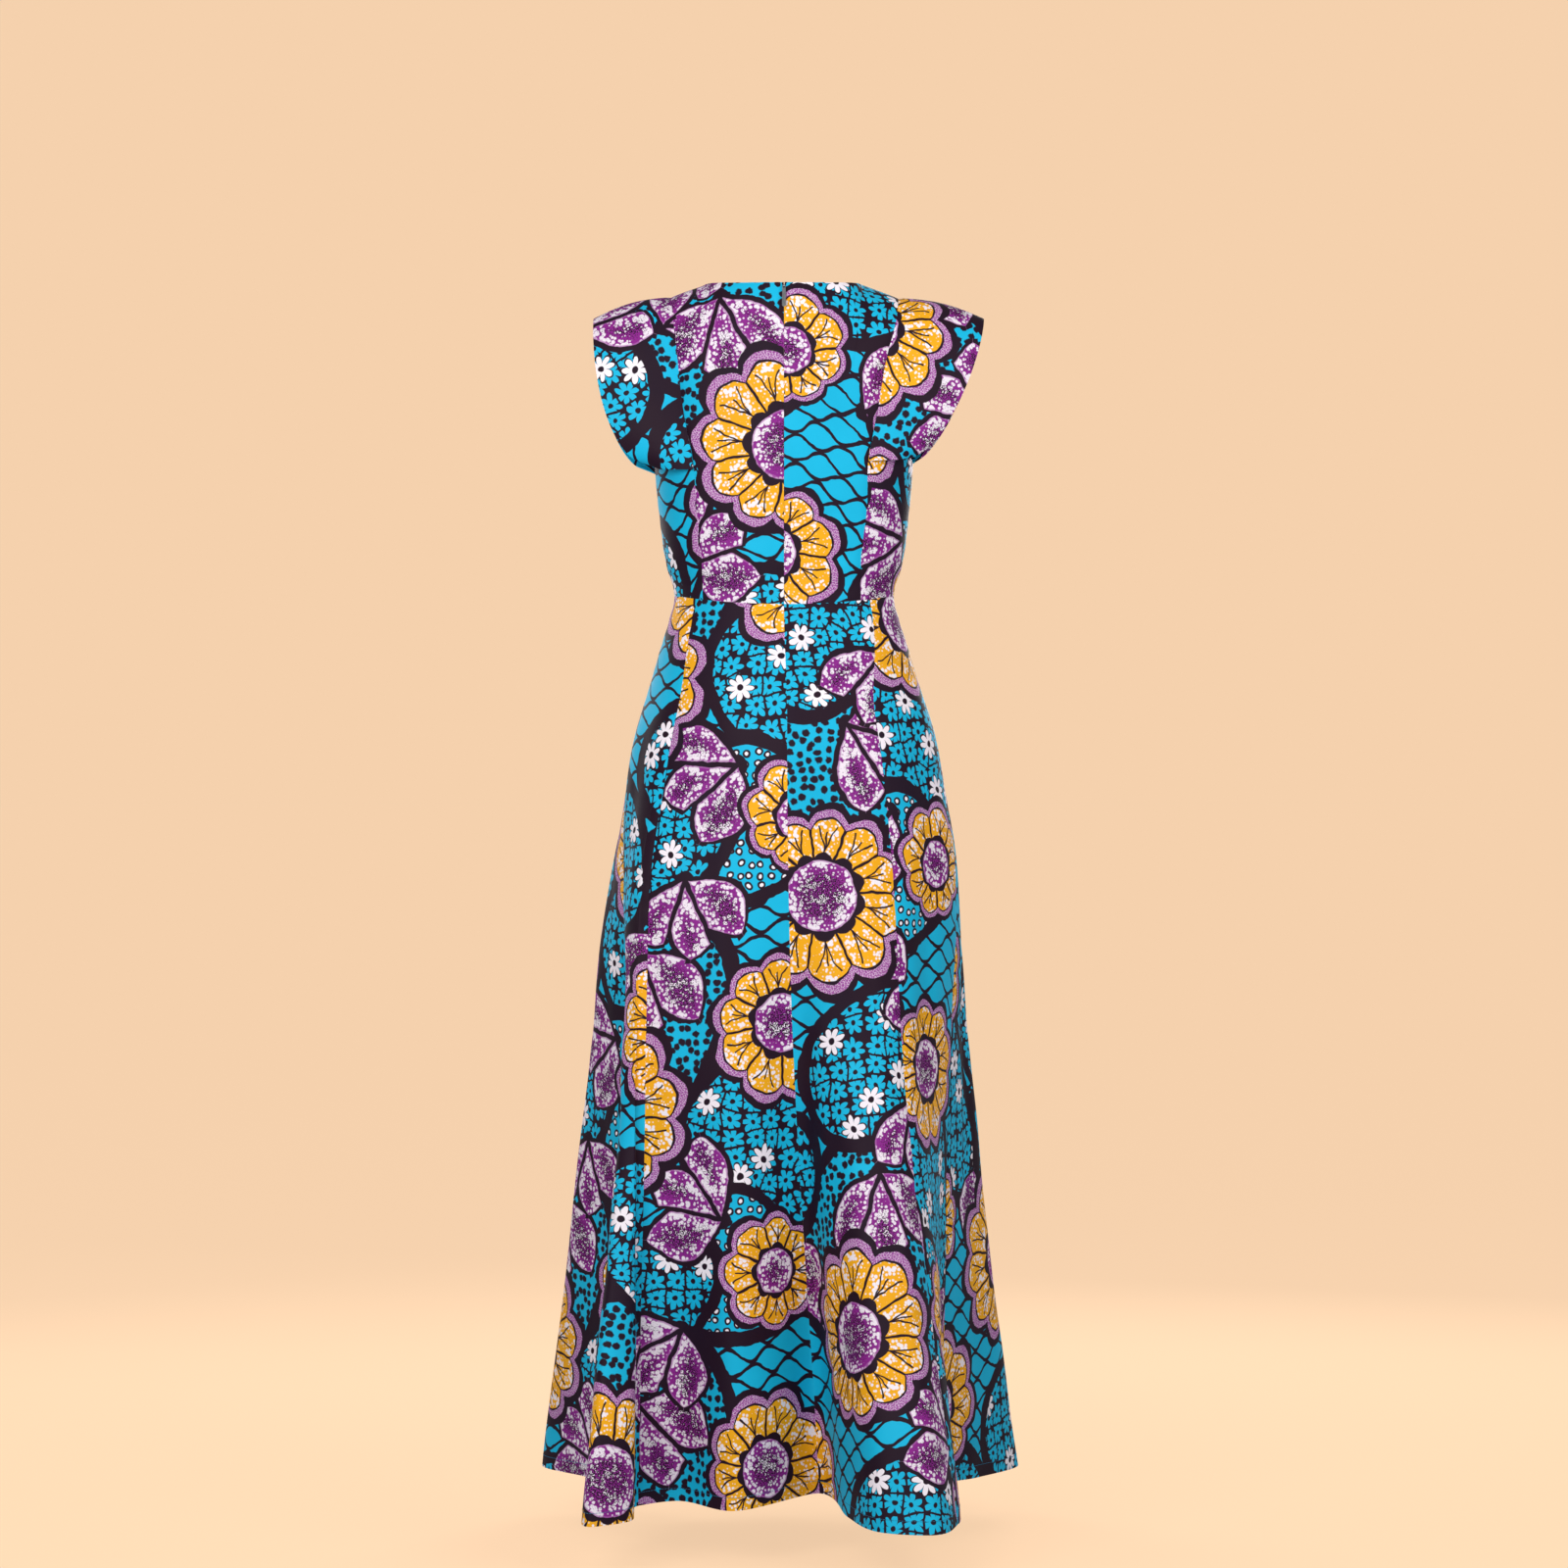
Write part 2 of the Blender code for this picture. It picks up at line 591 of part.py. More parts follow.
def slider_place():
    """Where the slider sits on the centre back, and how far the cloth leans there."""
    line = half_grid(1, -1)[:, 0]
    foot, top = line[-4], line[-1]
    rise = (top - foot) / np.linalg.norm(top - foot)
    middle = top - rise * (ZIP_TOP_DROP + SLIDER_LENGTH / 2)
    return Vector(middle), math.atan2(rise[1], rise[2])


def box(name, low, high, collection, helper=False):
    """A box between two corners; a helper is one that a Boolean uses up."""
    form = bmesh.new()
    bmesh.ops.create_cube(form, size=1)
    low, high = Vector(low), Vector(high)
    for point in form.verts:
        point.co = Vector((low[i] + (point.co[i] + 0.5) * (high[i] - low[i]) for i in range(3)))
    mesh = bpy.data.meshes.new(name)
    form.to_mesh(mesh)
    form.free()
    made = bpy.data.objects.new(name, mesh)
    collection.objects.link(made)
    if helper:
        made.hide_render = True
        made.display_type = "WIRE"
    return made


def rod(name, radius, length, middle, collection, sides=20):
    """A helper cylinder that lies along X."""
    form = bmesh.new()
    bmesh.ops.create_cone(
        form, cap_ends=True, segments=sides, radius1=radius, radius2=radius, depth=length
    )
    for point in form.verts:
        x, y, z = point.co
        point.co = Vector((z, y, -x)) + Vector(middle)
    mesh = bpy.data.meshes.new(name)
    form.to_mesh(mesh)
    form.free()
    made = bpy.data.objects.new(name, mesh)
    made.hide_render = True
    made.display_type = "WIRE"
    collection.objects.link(made)
    return made


def combine(target, other, operation):
    step = target.modifiers.new(other.name, "BOOLEAN")
    step.operation = operation
    step.object = other
    other.parent = target


def ring_y():
    """How far outside the cloth's middle the slider's ring has its centre, along local Y."""
    return -(WALL / 2 + RING_STAND + RING_OUTER)


def zip_slider(place, lean, collection, helpers):
    """The slider's body behind the tapes, and its ring in front, on a bridge between them."""
    inner = WALL / 2 + 2 * TAPE_GAP + TAPE_THICK
    half = SLIDER_WIDTH / 2
    length = SLIDER_LENGTH / 2
    slider = box("zip_slider", (-half, inner, -length), (half, inner + SLIDER_DEPTH, length), collection)
    wall = (RING_OUTER - RING_INNER) / 2
    bridge = box(
        "bridge",
        (-BRIDGE_WIDTH / 2, ring_y() + RING_OUTER - wall, -BRIDGE_LENGTH / 2),
        (BRIDGE_WIDTH / 2, inner + SLIDER_DEPTH / 2, BRIDGE_LENGTH / 2),
        helpers,
        helper=True,
    )
    ring = rod("ring", RING_OUTER, BRIDGE_WIDTH, (0, ring_y(), 0), helpers)
    hole = rod("ring_hole", RING_INNER, 3 * BRIDGE_WIDTH, (0, ring_y(), 0), helpers)
    combine(slider, bridge, "UNION")
    combine(slider, ring, "UNION")
    combine(slider, hole, "DIFFERENCE")
    slider.data.materials.append(material("zip_slider", GREY_METAL))
    slider.location = place
    slider.rotation_euler = (-lean, 0, 0)
    return slider


def zip_pull(place, lean, collection):
    """The pull tab: a flat drop whose top bar runs through the slider's ring."""
    top = PULL_BAR / 2
    low_half = PULL_LOW_WIDTH / 2
    tip = top - PULL_LENGTH
    turns = np.linspace(0, math.pi, PULL_ROUND_STEPS)
    drop = [(low_half * math.cos(turn), tip + low_half * (1 - math.sin(turn))) for turn in turns]
    outline = [(-PULL_TOP_WIDTH / 2, top), *reversed(drop), (PULL_TOP_WIDTH / 2, top)]
    half = PULL_WINDOW_WIDTH / 2
    window = [(-half, -top), (half, -top), (half, -PULL_WINDOW), (-half, -PULL_WINDOW)]
    shape = bpy.data.curves.new("zip_pull", "CURVE")
    shape.dimensions = "2D"
    shape.fill_mode = "BOTH"
    shape.extrude = PULL_THICK / 2
    for loop in (outline, window):
        spline = shape.splines.new("POLY")
        spline.points.add(len(loop) - 1)
        for point, (x, y) in zip(spline.points, loop):
            point.co = (x, y, 0, 1)
        spline.use_cyclic_u = True
    pull = bpy.data.objects.new("zip_pull", shape)
    shape.materials.append(material("zip_pull", GREY_METAL))
    outward = Vector((0, math.cos(lean), -math.sin(lean)))
    pull.location = place + outward * ring_y()
    pull.rotation_euler = (math.pi / 2 - lean - PULL_LEAN, 0, 0)
    collection.objects.link(pull)
    return pull


# ---------------------------------------------------------------- assembly

def cloth(name, grid, collection):
    sheet(name, facing_out(grid), WALL, PRINTED_COTTON, collection)


def bodice(collection):
    for side, sign in (("left", -1), ("right", 1)):
        back = half_grid(sign, -1)
        cloth("bodice_back_" + side, drawn_in(back, first=parting(back[:, 0, 2])), collection)
        for facing, place in ((-1, "back"), (1, "front")):
            panel = drawn_in(side_grid(sign, facing), high=0)
            cloth(f"bodice_side_{place}_{side}", panel, collection)
    halves = [np.delete(half_grid(sign, 1), 1, axis=1) for sign in (-1, 1)]
    front = np.concatenate([halves[0][:, ::-1], halves[1][:, 1:]], axis=1)
    cloth("bodice_front", drawn_in(front), collection)


def skirt(collection):
    names = ("back_right", "side_back_right", "side_front_right", "front")
    names += ("side_front_left", "side_back_left", "back_left")
    for name, first, last in zip(names, SKIRT_SEAMS, (*SKIRT_SEAMS[1:], SKIRT_SEAMS[0])):
        cloth("skirt_" + name, drawn_in(skirt_grid(first, last), low=0), collection)


def sleeves(collection):
    for wing in WINGS:
        sheet("sleeve_" + wing.side, wing_grid(wing), WALL, PRINTED_COTTON, collection)


def main():
    for leftover in list(bpy.data.objects):
        bpy.data.objects.remove(leftover)
    dress = bpy.data.collections.new("ankara_wax_print_dress")
    helpers = bpy.data.collections.new("helpers")
    for group in (dress, helpers):
        bpy.context.scene.collection.children.link(group)
    bodice(dress)
    skirt(dress)
    sleeves(dress)
    for sign in (-1, 1):
        zip_tape(sign, dress)
    place, lean = slider_place()
    zip_slider(place, lean, dress, helpers)
    pull = zip_pull(place, lean, dress)
    print("zip pull turns about X at", [round(value, 6) for value in pull.location])


main()
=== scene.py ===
# %% [markdown]
# # A wax print dress, worn but with nobody in it
#
# The dress is cut from printed cotton: a fitted bodice of seven panels, two stiff winged
# caps over the shoulders, and a long skirt of seven gores. A zip closes the centre back.
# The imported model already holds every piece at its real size. This script gives each of
# them its look: fine curved cloth with creases, a wax print, a metal zip and its stitches.

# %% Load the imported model
import json
import math
from collections import namedtuple

import bmesh
import bpy
import numpy as np
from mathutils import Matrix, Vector


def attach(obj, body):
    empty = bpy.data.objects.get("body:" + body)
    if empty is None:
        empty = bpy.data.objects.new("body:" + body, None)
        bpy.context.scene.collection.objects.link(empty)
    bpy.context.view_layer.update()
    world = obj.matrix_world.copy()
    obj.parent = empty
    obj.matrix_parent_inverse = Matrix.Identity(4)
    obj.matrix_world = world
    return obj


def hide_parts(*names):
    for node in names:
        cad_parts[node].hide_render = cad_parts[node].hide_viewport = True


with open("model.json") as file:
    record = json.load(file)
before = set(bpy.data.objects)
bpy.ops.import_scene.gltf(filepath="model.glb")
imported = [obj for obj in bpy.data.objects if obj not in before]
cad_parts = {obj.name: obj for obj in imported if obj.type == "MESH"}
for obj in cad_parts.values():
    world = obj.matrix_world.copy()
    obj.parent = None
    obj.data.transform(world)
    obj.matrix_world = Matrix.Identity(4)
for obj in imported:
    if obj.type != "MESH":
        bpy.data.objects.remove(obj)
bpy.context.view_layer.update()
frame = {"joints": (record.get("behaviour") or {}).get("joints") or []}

# %% [markdown]
# ## The cut of the dress
#
# Every panel lies on one of three surfaces: the bodice, a winged cap or the skirt. A
# dressmaker describes such a surface by a few measures taken at levels: half the width,
# the depth of the back and of the front, and how square the figure is there. The skirt
# also has folds, each with its place at the knee and at the hem. A smooth curve through
# those rows gives any point between them. The measures are the ones the model was made
# from, so that the fine cloth lies where the plain solids are.

# %% Measures of the bodice, in metres
WAIST_SIDE_Z = -0.3605
WAIST_DIP_BACK = 0.0118
WAIST_DIP_FRONT = 0.004
SHOULDER_Z = 0.006
SHOULDER_SLOPE = 0.35
NECK_HALF = 0.092
NECK_RISE = 0.062
NECK_BACK_Z = 0.002
NECK_FRONT_Z = -0.075
UNDERARM_Z = -0.208
CHEST_Z = -0.100
ARCH_LENGTH = 0.11
ARMHOLE_SHARE = 0.66
ARMHOLE_Z = -0.190

Section = namedtuple("Section", "z half_width back front squareness")
SECTIONS = (
    Section(-0.900, 0.234, 0.150, 0.150, 2.00),
    Section(-0.750, 0.225, 0.148, 0.143, 2.00),
    Section(-0.657, 0.210, 0.144, 0.137, 2.02),
    Section(-0.587, 0.192, 0.137, 0.131, 2.05),
    Section(-0.520, 0.175, 0.127, 0.125, 2.08),
    Section(-0.456, 0.1555, 0.112, 0.116, 2.12),
    Section(-0.420, 0.1445, 0.101, 0.109, 2.15),
    Section(-0.390, 0.1350, 0.093, 0.103, 2.18),
    Section(-0.362, 0.1285, 0.088, 0.100, 2.20),
    Section(-0.320, 0.1390, 0.091, 0.112, 2.22),
    Section(-0.265, 0.1465, 0.096, 0.125, 2.26),
    Section(-0.208, 0.1515, 0.099, 0.122, 2.32),
    Section(-0.150, 0.1535, 0.098, 0.114, 2.38),
    Section(-0.100, 0.1540, 0.094, 0.104, 2.40),
)
Arch = namedtuple("Arch", "share roundness")
BACK_ARCH = Arch(1.00, 2.2)
FRONT_ARCH = Arch(0.66, 1.45)

SeamLevel = namedtuple("SeamLevel", "z left right")
PRINCESS = (
    SeamLevel(-0.372, 0.0945, 0.0900),
    SeamLevel(-0.320, 0.0960, 0.0900),
    SeamLevel(-0.260, 0.1015, 0.0965),
    SeamLevel(-0.200, 0.1065, 0.0985),
    SeamLevel(-0.150, 0.1165, 0.1085),
    SeamLevel(-0.090, 0.1240, 0.1190),
    SeamLevel(-0.046, 0.1290, 0.1305),
    SeamLevel(-0.008, 0.1330, 0.1350),
)
print("from the waist to the shoulder:", round(SHOULDER_Z - WAIST_SIDE_Z, 4), "m")

# %% Measures of the winged caps
Wing = namedtuple("Wing", "side sign reach ridge_z low_x low_z root_low_z roundness")
WINGS = (
    Wing("left", -1, 0.2235, -0.034, 0.151, -0.212, -0.216, 2.1),
    Wing("right", +1, 0.2345, -0.034, 0.152, -0.200, -0.206, 1.45),
)
WING_DEPTH_BACK = 0.062
WING_DEPTH_FRONT = 0.066
WING_ARCH = 3.0
WING_CROWN = 0.006
WING_STAND = 0.0025  # the cap's root over the side panels
WING_ROOT_LAP = 0.0005  # how far the cap's root goes under the armhole edge
for wing in WINGS:
    print(wing.side, "cap, from the centre to its tip:", wing.reach, "m")

# %% Measures of the skirt
HEM_Z = -1.418
HIP_SHARE = 0.13
KNEE_SHARE = 0.50

SkirtSeam = namedtuple("SkirtSeam", "name waist fold")
SKIRT_SEAMS = (
    SkirtSeam("centre_back", 0, "back valley"),
    SkirtSeam("back_right", 50, "back right turn"),
    SkirtSeam("side_right", 90, "right side valley"),
    SkirtSeam("front_right", 130, "front right fall"),
    SkirtSeam("front_left", 230, "front left fall"),
    SkirtSeam("side_left", 270, "left side valley"),
    SkirtSeam("back_left", 308, "back left seam valley"),
)
Fold = namedtuple("Fold", "name hip knee_x knee_y hem_x hem_y lift")
FOLDS = (
    Fold("back valley", 1, 0.0107, -0.126, 0.042, -0.080, 0.014),
    Fold("back right inner slope", 15, 0.048, -0.148, 0.0745, -0.195, 0.004),
    Fold("back right crest", 25, 0.085, -0.162, 0.116, -0.292, 0.001),
    Fold("back right brow", 32, 0.114, -0.158, 0.168, -0.298, 0.000),
    Fold("back right turn", 38, 0.138, -0.138, 0.198, -0.228, 0.001),
    Fold("right flank", 64, 0.172, -0.070, 0.190, -0.085, 0.005),
    Fold("right side valley", 90, 0.197, 0.000, 0.186, 0.045, 0.006),
    Fold("right front flank", 103, 0.213, 0.055, 0.232, 0.120, 0.002),
    Fold("front right crest", 117, 0.211, 0.115, 0.283, 0.258, 0.000),
    Fold("front right fall", 138, 0.160, 0.165, 0.222, 0.312, 0.000),
    Fold("front right valley", 156, 0.092, 0.170, 0.122, 0.240, 0.007),
    Fold("front centre", 180, 0.000, 0.190, 0.000, 0.292, 0.000),
    Fold("front left valley", 204, -0.092, 0.170, -0.122, 0.238, 0.007),
    Fold("front left fall", 222, -0.160, 0.165, -0.226, 0.306, 0.000),
    Fold("front left crest", 242, -0.230, 0.115, -0.294, 0.244, 0.000),
    Fold("left front flank", 256, -0.208, 0.055, -0.240, 0.140, 0.001),
    Fold("left side valley", 270, -0.172, 0.000, -0.186, 0.045, 0.006),
    Fold("left flank", 289, -0.182, -0.060, -0.222, -0.120, 0.003),
    Fold("left tube", 301, -0.184, -0.110, -0.216, -0.240, 0.000),
    Fold("left tube inside", 307, -0.173, -0.124, -0.179, -0.212, 0.001),
    Fold("back left seam valley", 313, -0.160, -0.122, -0.168, -0.118, 0.005),
    Fold("back left dip", 326, -0.124, -0.134, -0.126, -0.096, 0.007),
    Fold("back left crest", 343, -0.060, -0.154, -0.060, -0.152, 0.004),
)
print("sections:", len(SECTIONS), "folds:", len(FOLDS))

# %% [markdown]
# ## Smooth surfaces from those measures
#
# Cloth on a figure has no flat faces. Its surface could be sculpted, but a grid of points
# worked out from the tables keeps its rows and lanes in order, and the seams, the folds and
# the cutting table all need that order later. `smooth` runs a curve through one column of a
# table, as a dressmaker's curved ruler does, and the figure is a stack of squarish ovals.

# %% A smooth curve through a column of a table
def column(table, name):
    return [getattr(row, name) for row in table]


def smooth(knots, values, at):
    """A smooth curve through (knots, values), read at every place in `at`."""
    knots = np.asarray(knots, float)
    values = np.asarray(values, float)
    at = np.asarray(at, float)
    slopes = np.gradient(values, knots)
    cell = np.clip(np.searchsorted(knots, at, side="right") - 1, 0, len(knots) - 2)
    width = knots[cell + 1] - knots[cell]
    s = np.clip((at - knots[cell]) / width, 0, 1)
    rise = values[cell + 1] - values[cell]
    start = slopes[cell] * width
    end = slopes[cell + 1] * width
    bend = s**2 * (3 * rise - 2 * start - end) + s**3 * (start + end - 2 * rise)
    return values[cell] + s * start + bend


levels, widths = column(SECTIONS, "z"), column(SECTIONS, "half_width")
read = smooth(levels, widths, [WAIST_SIDE_Z, UNDERARM_Z])
print("half widths at the waist and under the arms:", read.round(4), "m")


# %% Ovals round the figure, and which way a grid faces
def section(z):
    names = ("half_width", "back", "front", "squareness")
    return [smooth(column(SECTIONS, "z"), column(SECTIONS, name), z) for name in names]


def on_section(angle, z):
    """x and y of the figure at an angle (radians from the centre back) and a height."""
    half_width, back, front, squareness = section(z)
    sine, cosine = np.sin(angle), np.cos(angle)
    power = 2 / squareness
    x = half_width * np.sign(sine) * np.abs(sine) ** power
    y = -np.where(cosine > 0, back, front) * np.sign(cosine) * np.abs(cosine) ** power
    return x, y


def angle_at(x, z, facing):
    """Angle at which the figure has this x, on its back (facing -1) or front (+1)."""
    half_width, _, _, squareness = section(z)
    share = np.clip(np.abs(x) / half_width, 0, 1) ** (squareness / 2)
    angle = np.arcsin(share) * np.sign(x)
    return angle if facing < 0 else math.pi - angle


def waist_z(angle):
    cosine = np.cos(angle)
    return WAIST_SIDE_Z - np.where(cosine > 0, WAIST_DIP_BACK, WAIST_DIP_FRONT) * cosine**2


def normals_of(grid):
    """Unit normals of a (rows, lanes, 3) grid of points."""
    across = np.cross(np.gradient(grid, axis=1), np.gradient(grid, axis=0))
    return across / np.maximum(np.linalg.norm(across, axis=2, keepdims=True), 1e-12)


def facing_out(grid):
    """The grid with its lanes turned so that its faces look away from the figure."""
    across = normals_of(grid)[..., :2]
    return grid[:, ::-1] if (across * grid[..., :2]).sum() < 0 else grid


print("waist, at the centre back:", round(float(waist_z(0.0)), 4), "m")

# %% [markdown]
# ## The bodice's surface
#
# The princess seams shape the bodice: they run from the waist over its fullest part to the
# shoulder. Up to the chest the surface follows the ovals, and above it an arch leans in over
# the shoulder. Each function takes whole arrays of shares across and up a panel, so one
# call makes a grid as coarse or as fine as it needs to be.

# %% Lines on the bodice: princess seams, shoulder and neck
PRINCESS_TRIES = 4  # the seam's height and its angle depend on each other


def height_at(share, angle):
    low = waist_z(angle)
    return low + share * (CHEST_Z - low)


def princess_x(z, sign):
    return smooth(column(PRINCESS, "z"), column(PRINCESS, "right" if sign > 0 else "left"), z)


def princess_angle(share, sign, facing):
    angle = math.pi / 4
    for _ in range(PRINCESS_TRIES):
        z = height_at(share, angle)
        angle = angle_at(sign * princess_x(z, sign), z, facing)
    return angle


def ridge_z(x):
    over_neck = NECK_RISE * (1 - (x / NECK_HALF) ** 2)
    over_shoulder = SHOULDER_SLOPE * (NECK_HALF - np.abs(x))
    return SHOULDER_Z + np.where(np.abs(x) < NECK_HALF, over_neck, over_shoulder)


def neckline_z(x, facing):
    share = np.clip(np.abs(x) / NECK_HALF, 0, 1)
    if facing < 0:
        return NECK_BACK_Z + (SHOULDER_Z - NECK_BACK_Z) * share**4
    return NECK_FRONT_Z + (SHOULDER_Z - NECK_FRONT_Z) * (1 - np.sqrt(1 - share**2))


print("neckline at the centre back and front:", [neckline_z(0.0, facing) for facing in (-1, 1)])


# %% Panels of the bodice
def half_surface(sign, facing, lanes, shares, turns):
    """Half of the back or the front: straight rows to the chest, then the shoulder's arch."""
    arch = BACK_ARCH if facing < 0 else FRONT_ARCH
    rows = []
    for share in shares:
        edge_angle = princess_angle(share, sign, facing)
        edge_z = height_at(share, edge_angle)
        x = lanes * on_section(edge_angle, edge_z)[0]
        z = height_at(share, angle_at(x, edge_z, facing))
        _, y = on_section(angle_at(x, z, facing), z)
        rows.append(np.stack([x, y, z], axis=1))
    _, spring_y, spring_z = rows[-1].T
    for turn in turns:
        edge_z = spring_z[-1] + (PRINCESS[-1].z - spring_z[-1]) * math.sin(turn * math.pi / 2)
        x = sign * lanes * princess_x(edge_z, sign)
        in_neck = lanes * PRINCESS[-1].right < NECK_HALF
        top = np.where(in_neck, neckline_z(x, facing), ridge_z(x))
        height = ridge_z(x) - spring_z
        reach = np.clip((top - spring_z) / height, 0, 1) ** (arch.roundness / 2)
        angle = np.arcsin(reach) * turn
        z = spring_z + height * np.sin(angle) ** (2 / arch.roundness)
        y = spring_y * np.cos(angle) ** (2 / arch.roundness)
        rows.append(np.stack([x, y, z], axis=1))
    return np.array(rows)


def side_surface(sign, facing, lanes, shares):
    """A side panel, from the princess seam to the side seam and up to the armhole."""
    side_angle = sign * math.pi / 2 if facing < 0 or sign > 0 else 1.5 * math.pi
    scooped = (UNDERARM_Z - WAIST_SIDE_Z) / (ARMHOLE_SHARE * (CHEST_Z - WAIST_SIDE_Z))
    grid = []
    for share in shares:
        edge_angle = princess_angle(share, sign, facing)
        angle = edge_angle + (side_angle - edge_angle) * lanes
        z = height_at(share * (1 - (1 - scooped) * lanes**2), angle)
        x, y = on_section(angle, z)
        grid.append(np.stack([x, y, z], axis=1))
    return np.array(grid)


underarm = side_surface(1, -1, np.array([1.0]), [ARMHOLE_SHARE])[0, 0]
print("underarm point on the right:", underarm.round(4), "m")

# %% [markdown]
# ## The winged caps' surface
#
# Each cap is a stiffened strip in place of a sleeve. Its root follows the armhole from the
# back over the shoulder to the front, and its free edge stands out from the arm as an arch.
# A sheet could be bent to that form, but both edges are known curves, so straight lanes
# between them give the surface at once. A slight crown keeps it from looking like card.

# %% The armhole's edge
ARMHOLE_POINTS = 30  # on each straight run and each arch of the armhole
ARMHOLE_LANES = 25
FOOT_CLEAR = 0.002  # the curve starts anew this far above its foot


def along(curve, shares):
    """Points at even shares of a polyline's length; further columns come along."""
    steps = np.linalg.norm(np.diff(curve[:, :3], axis=0), axis=1)
    travelled = np.concatenate([[0], np.cumsum(steps)]) / steps.sum()
    return np.stack([np.interp(shares, travelled, values) for values in curve.T], axis=1)


def armhole_curve(sign, low_z):
    """Points and outward normals of the armhole edge, from the back over the shoulder."""
    halves = []
    for facing in (-1, 1):
        arch = BACK_ARCH if facing < 0 else FRONT_ARCH
        shares = np.linspace(0, arch.share, ARMHOLE_POINTS)
        turns = np.linspace(0, 1, ARMHOLE_POINTS)[1:]
        lanes = np.linspace(0, 1, ARMHOLE_LANES)
        grid = half_surface(sign, facing, lanes, shares, turns)
        outward = normals_of(grid)[:, -1] * (sign * -facing)
        line = np.concatenate([grid[:, -1], outward], axis=1)
        foot = np.array([np.interp(low_z, line[:, 2], line[:, axis]) for axis in range(6)])
        halves.append(np.concatenate([foot[None], line[line[:, 2] > low_z + FOOT_CLEAR]]))
    return np.concatenate([halves[0], halves[1][::-1][1:]])


print("points round the right armhole:", len(armhole_curve(1, WINGS[1].root_low_z)))

# %% The cap, from the armhole to its free edge
CAP_EDGE_POINTS = 241


def wing_outer(wing, shares):
    turn = shares * math.pi
    power = 2 / WING_ARCH
    lift = np.clip(np.sin(turn), 0, 1) ** power
    z = wing.low_z + (wing.ridge_z - wing.low_z) * lift
    depth = np.where(turn < math.pi / 2, WING_DEPTH_BACK, WING_DEPTH_FRONT)
    y = -depth * np.sign(np.cos(turn)) * np.abs(np.cos(turn)) ** power
    fall = (wing.ridge_z - z) / (wing.ridge_z - wing.low_z)
    reach = (1 - fall**wing.roundness) ** (1 / wing.roundness)
    x = wing.sign * (wing.low_x + (wing.reach - wing.low_x) * reach)
    return np.stack([x, y, z], axis=1)


def wing_surface(wing, lanes, shares):
    """A cap, with rows along its root in the armhole and lanes out to its free edge."""
    curve = along(armhole_curve(wing.sign, wing.root_low_z), shares)
    root, outward = curve[:, :3], curve[:, 3:]
    over_side_panel = np.clip(root[:, 2] / ARMHOLE_Z, 0, 1)[:, None] ** 3
    root = root + outward * over_side_panel * WING_STAND
    root[:, 0] -= wing.sign * WING_ROOT_LAP
    outer = along(wing_outer(wing, np.linspace(0, 1, CAP_EDGE_POINTS)), shares)
    flat = root[:, None] + (outer - root)[:, None] * lanes[None, :, None]
    out = normals_of(flat)
    if out[len(shares) // 2, :, 2].mean() < 0:
        out = -out
    return flat + out * WING_CROWN * np.sin(lanes * math.pi)[None, :, None]


middle = wing_surface(WINGS[1], np.array([0.0, 1.0]), np.array([0.4, 0.5, 0.6]))[1]
print("right cap, from root to edge:", round(float(np.linalg.norm(middle[1] - middle[0])), 4), "m")

# %% [markdown]
# ## The skirt's surface
#
# A gored skirt lies smooth from the waist to the hip. Below it the extra width falls into
# folds that deepen towards the hem. A cloth simulation makes such folds, but not the same
# ones twice. Here each fold is a row of a table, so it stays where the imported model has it.
# Smooth closed curves run through the folds' places at the knee and at the hem.

# %% Folds round the skirt
def hem_steps():
    points = np.array([(fold.hem_x, fold.hem_y) for fold in FOLDS])
    return np.linalg.norm(np.roll(points, -1, axis=0) - points, axis=1)


def fold_places():
    steps = hem_steps()
    return np.concatenate([[0], np.cumsum(steps)]) / steps.sum()


def around(values, at, turn=0.0):
    """A smooth closed curve through one value for each fold; turn is what one lap adds."""
    places = fold_places()
    lap = np.asarray(values, float)
    knots = np.concatenate([places[-4:-1] - 1, places, places[1:4] + 1])
    values = np.concatenate([lap[-3:] - turn, lap, lap[:1] + turn, lap[1:4] + turn])
    return smooth(knots, values, at)


def fold_growth(share, knee, hem):
    """How far the folds have moved a lane: none at the hip, `knee` and `hem` lower down."""
    rise = hem / (1 - HIP_SHARE)
    if share <= HIP_SHARE:
        return 0 * knee
    if share <= KNEE_SHARE:
        width = KNEE_SHARE - HIP_SHARE
        s = (share - HIP_SHARE) / width
        return s**2 * (3 * knee - rise * width) + s**3 * (rise * width - 2 * knee)
    width = 1 - KNEE_SHARE
    s = (share - KNEE_SHARE) / width
    gain = hem - knee
    start = rise * width
    return knee + s * start + s**2 * (2 * gain - 2 * start) + s**3 * (start - gain)


print("round the hem, from fold to fold:", round(float(hem_steps().sum()), 3), "m")


# %% The gore between two seams
def gore_span(first, last):
    """Where a gore starts and ends, as shares of the way round the hem."""
    places = dict(zip(column(FOLDS, "name"), fold_places()))
    start, end = places[first.fold], places[last.fold]
    return start, end + (end <= start)


def gore_width(first, last):
    start, end = gore_span(first, last)
    return hem_steps().sum() * (end - start)


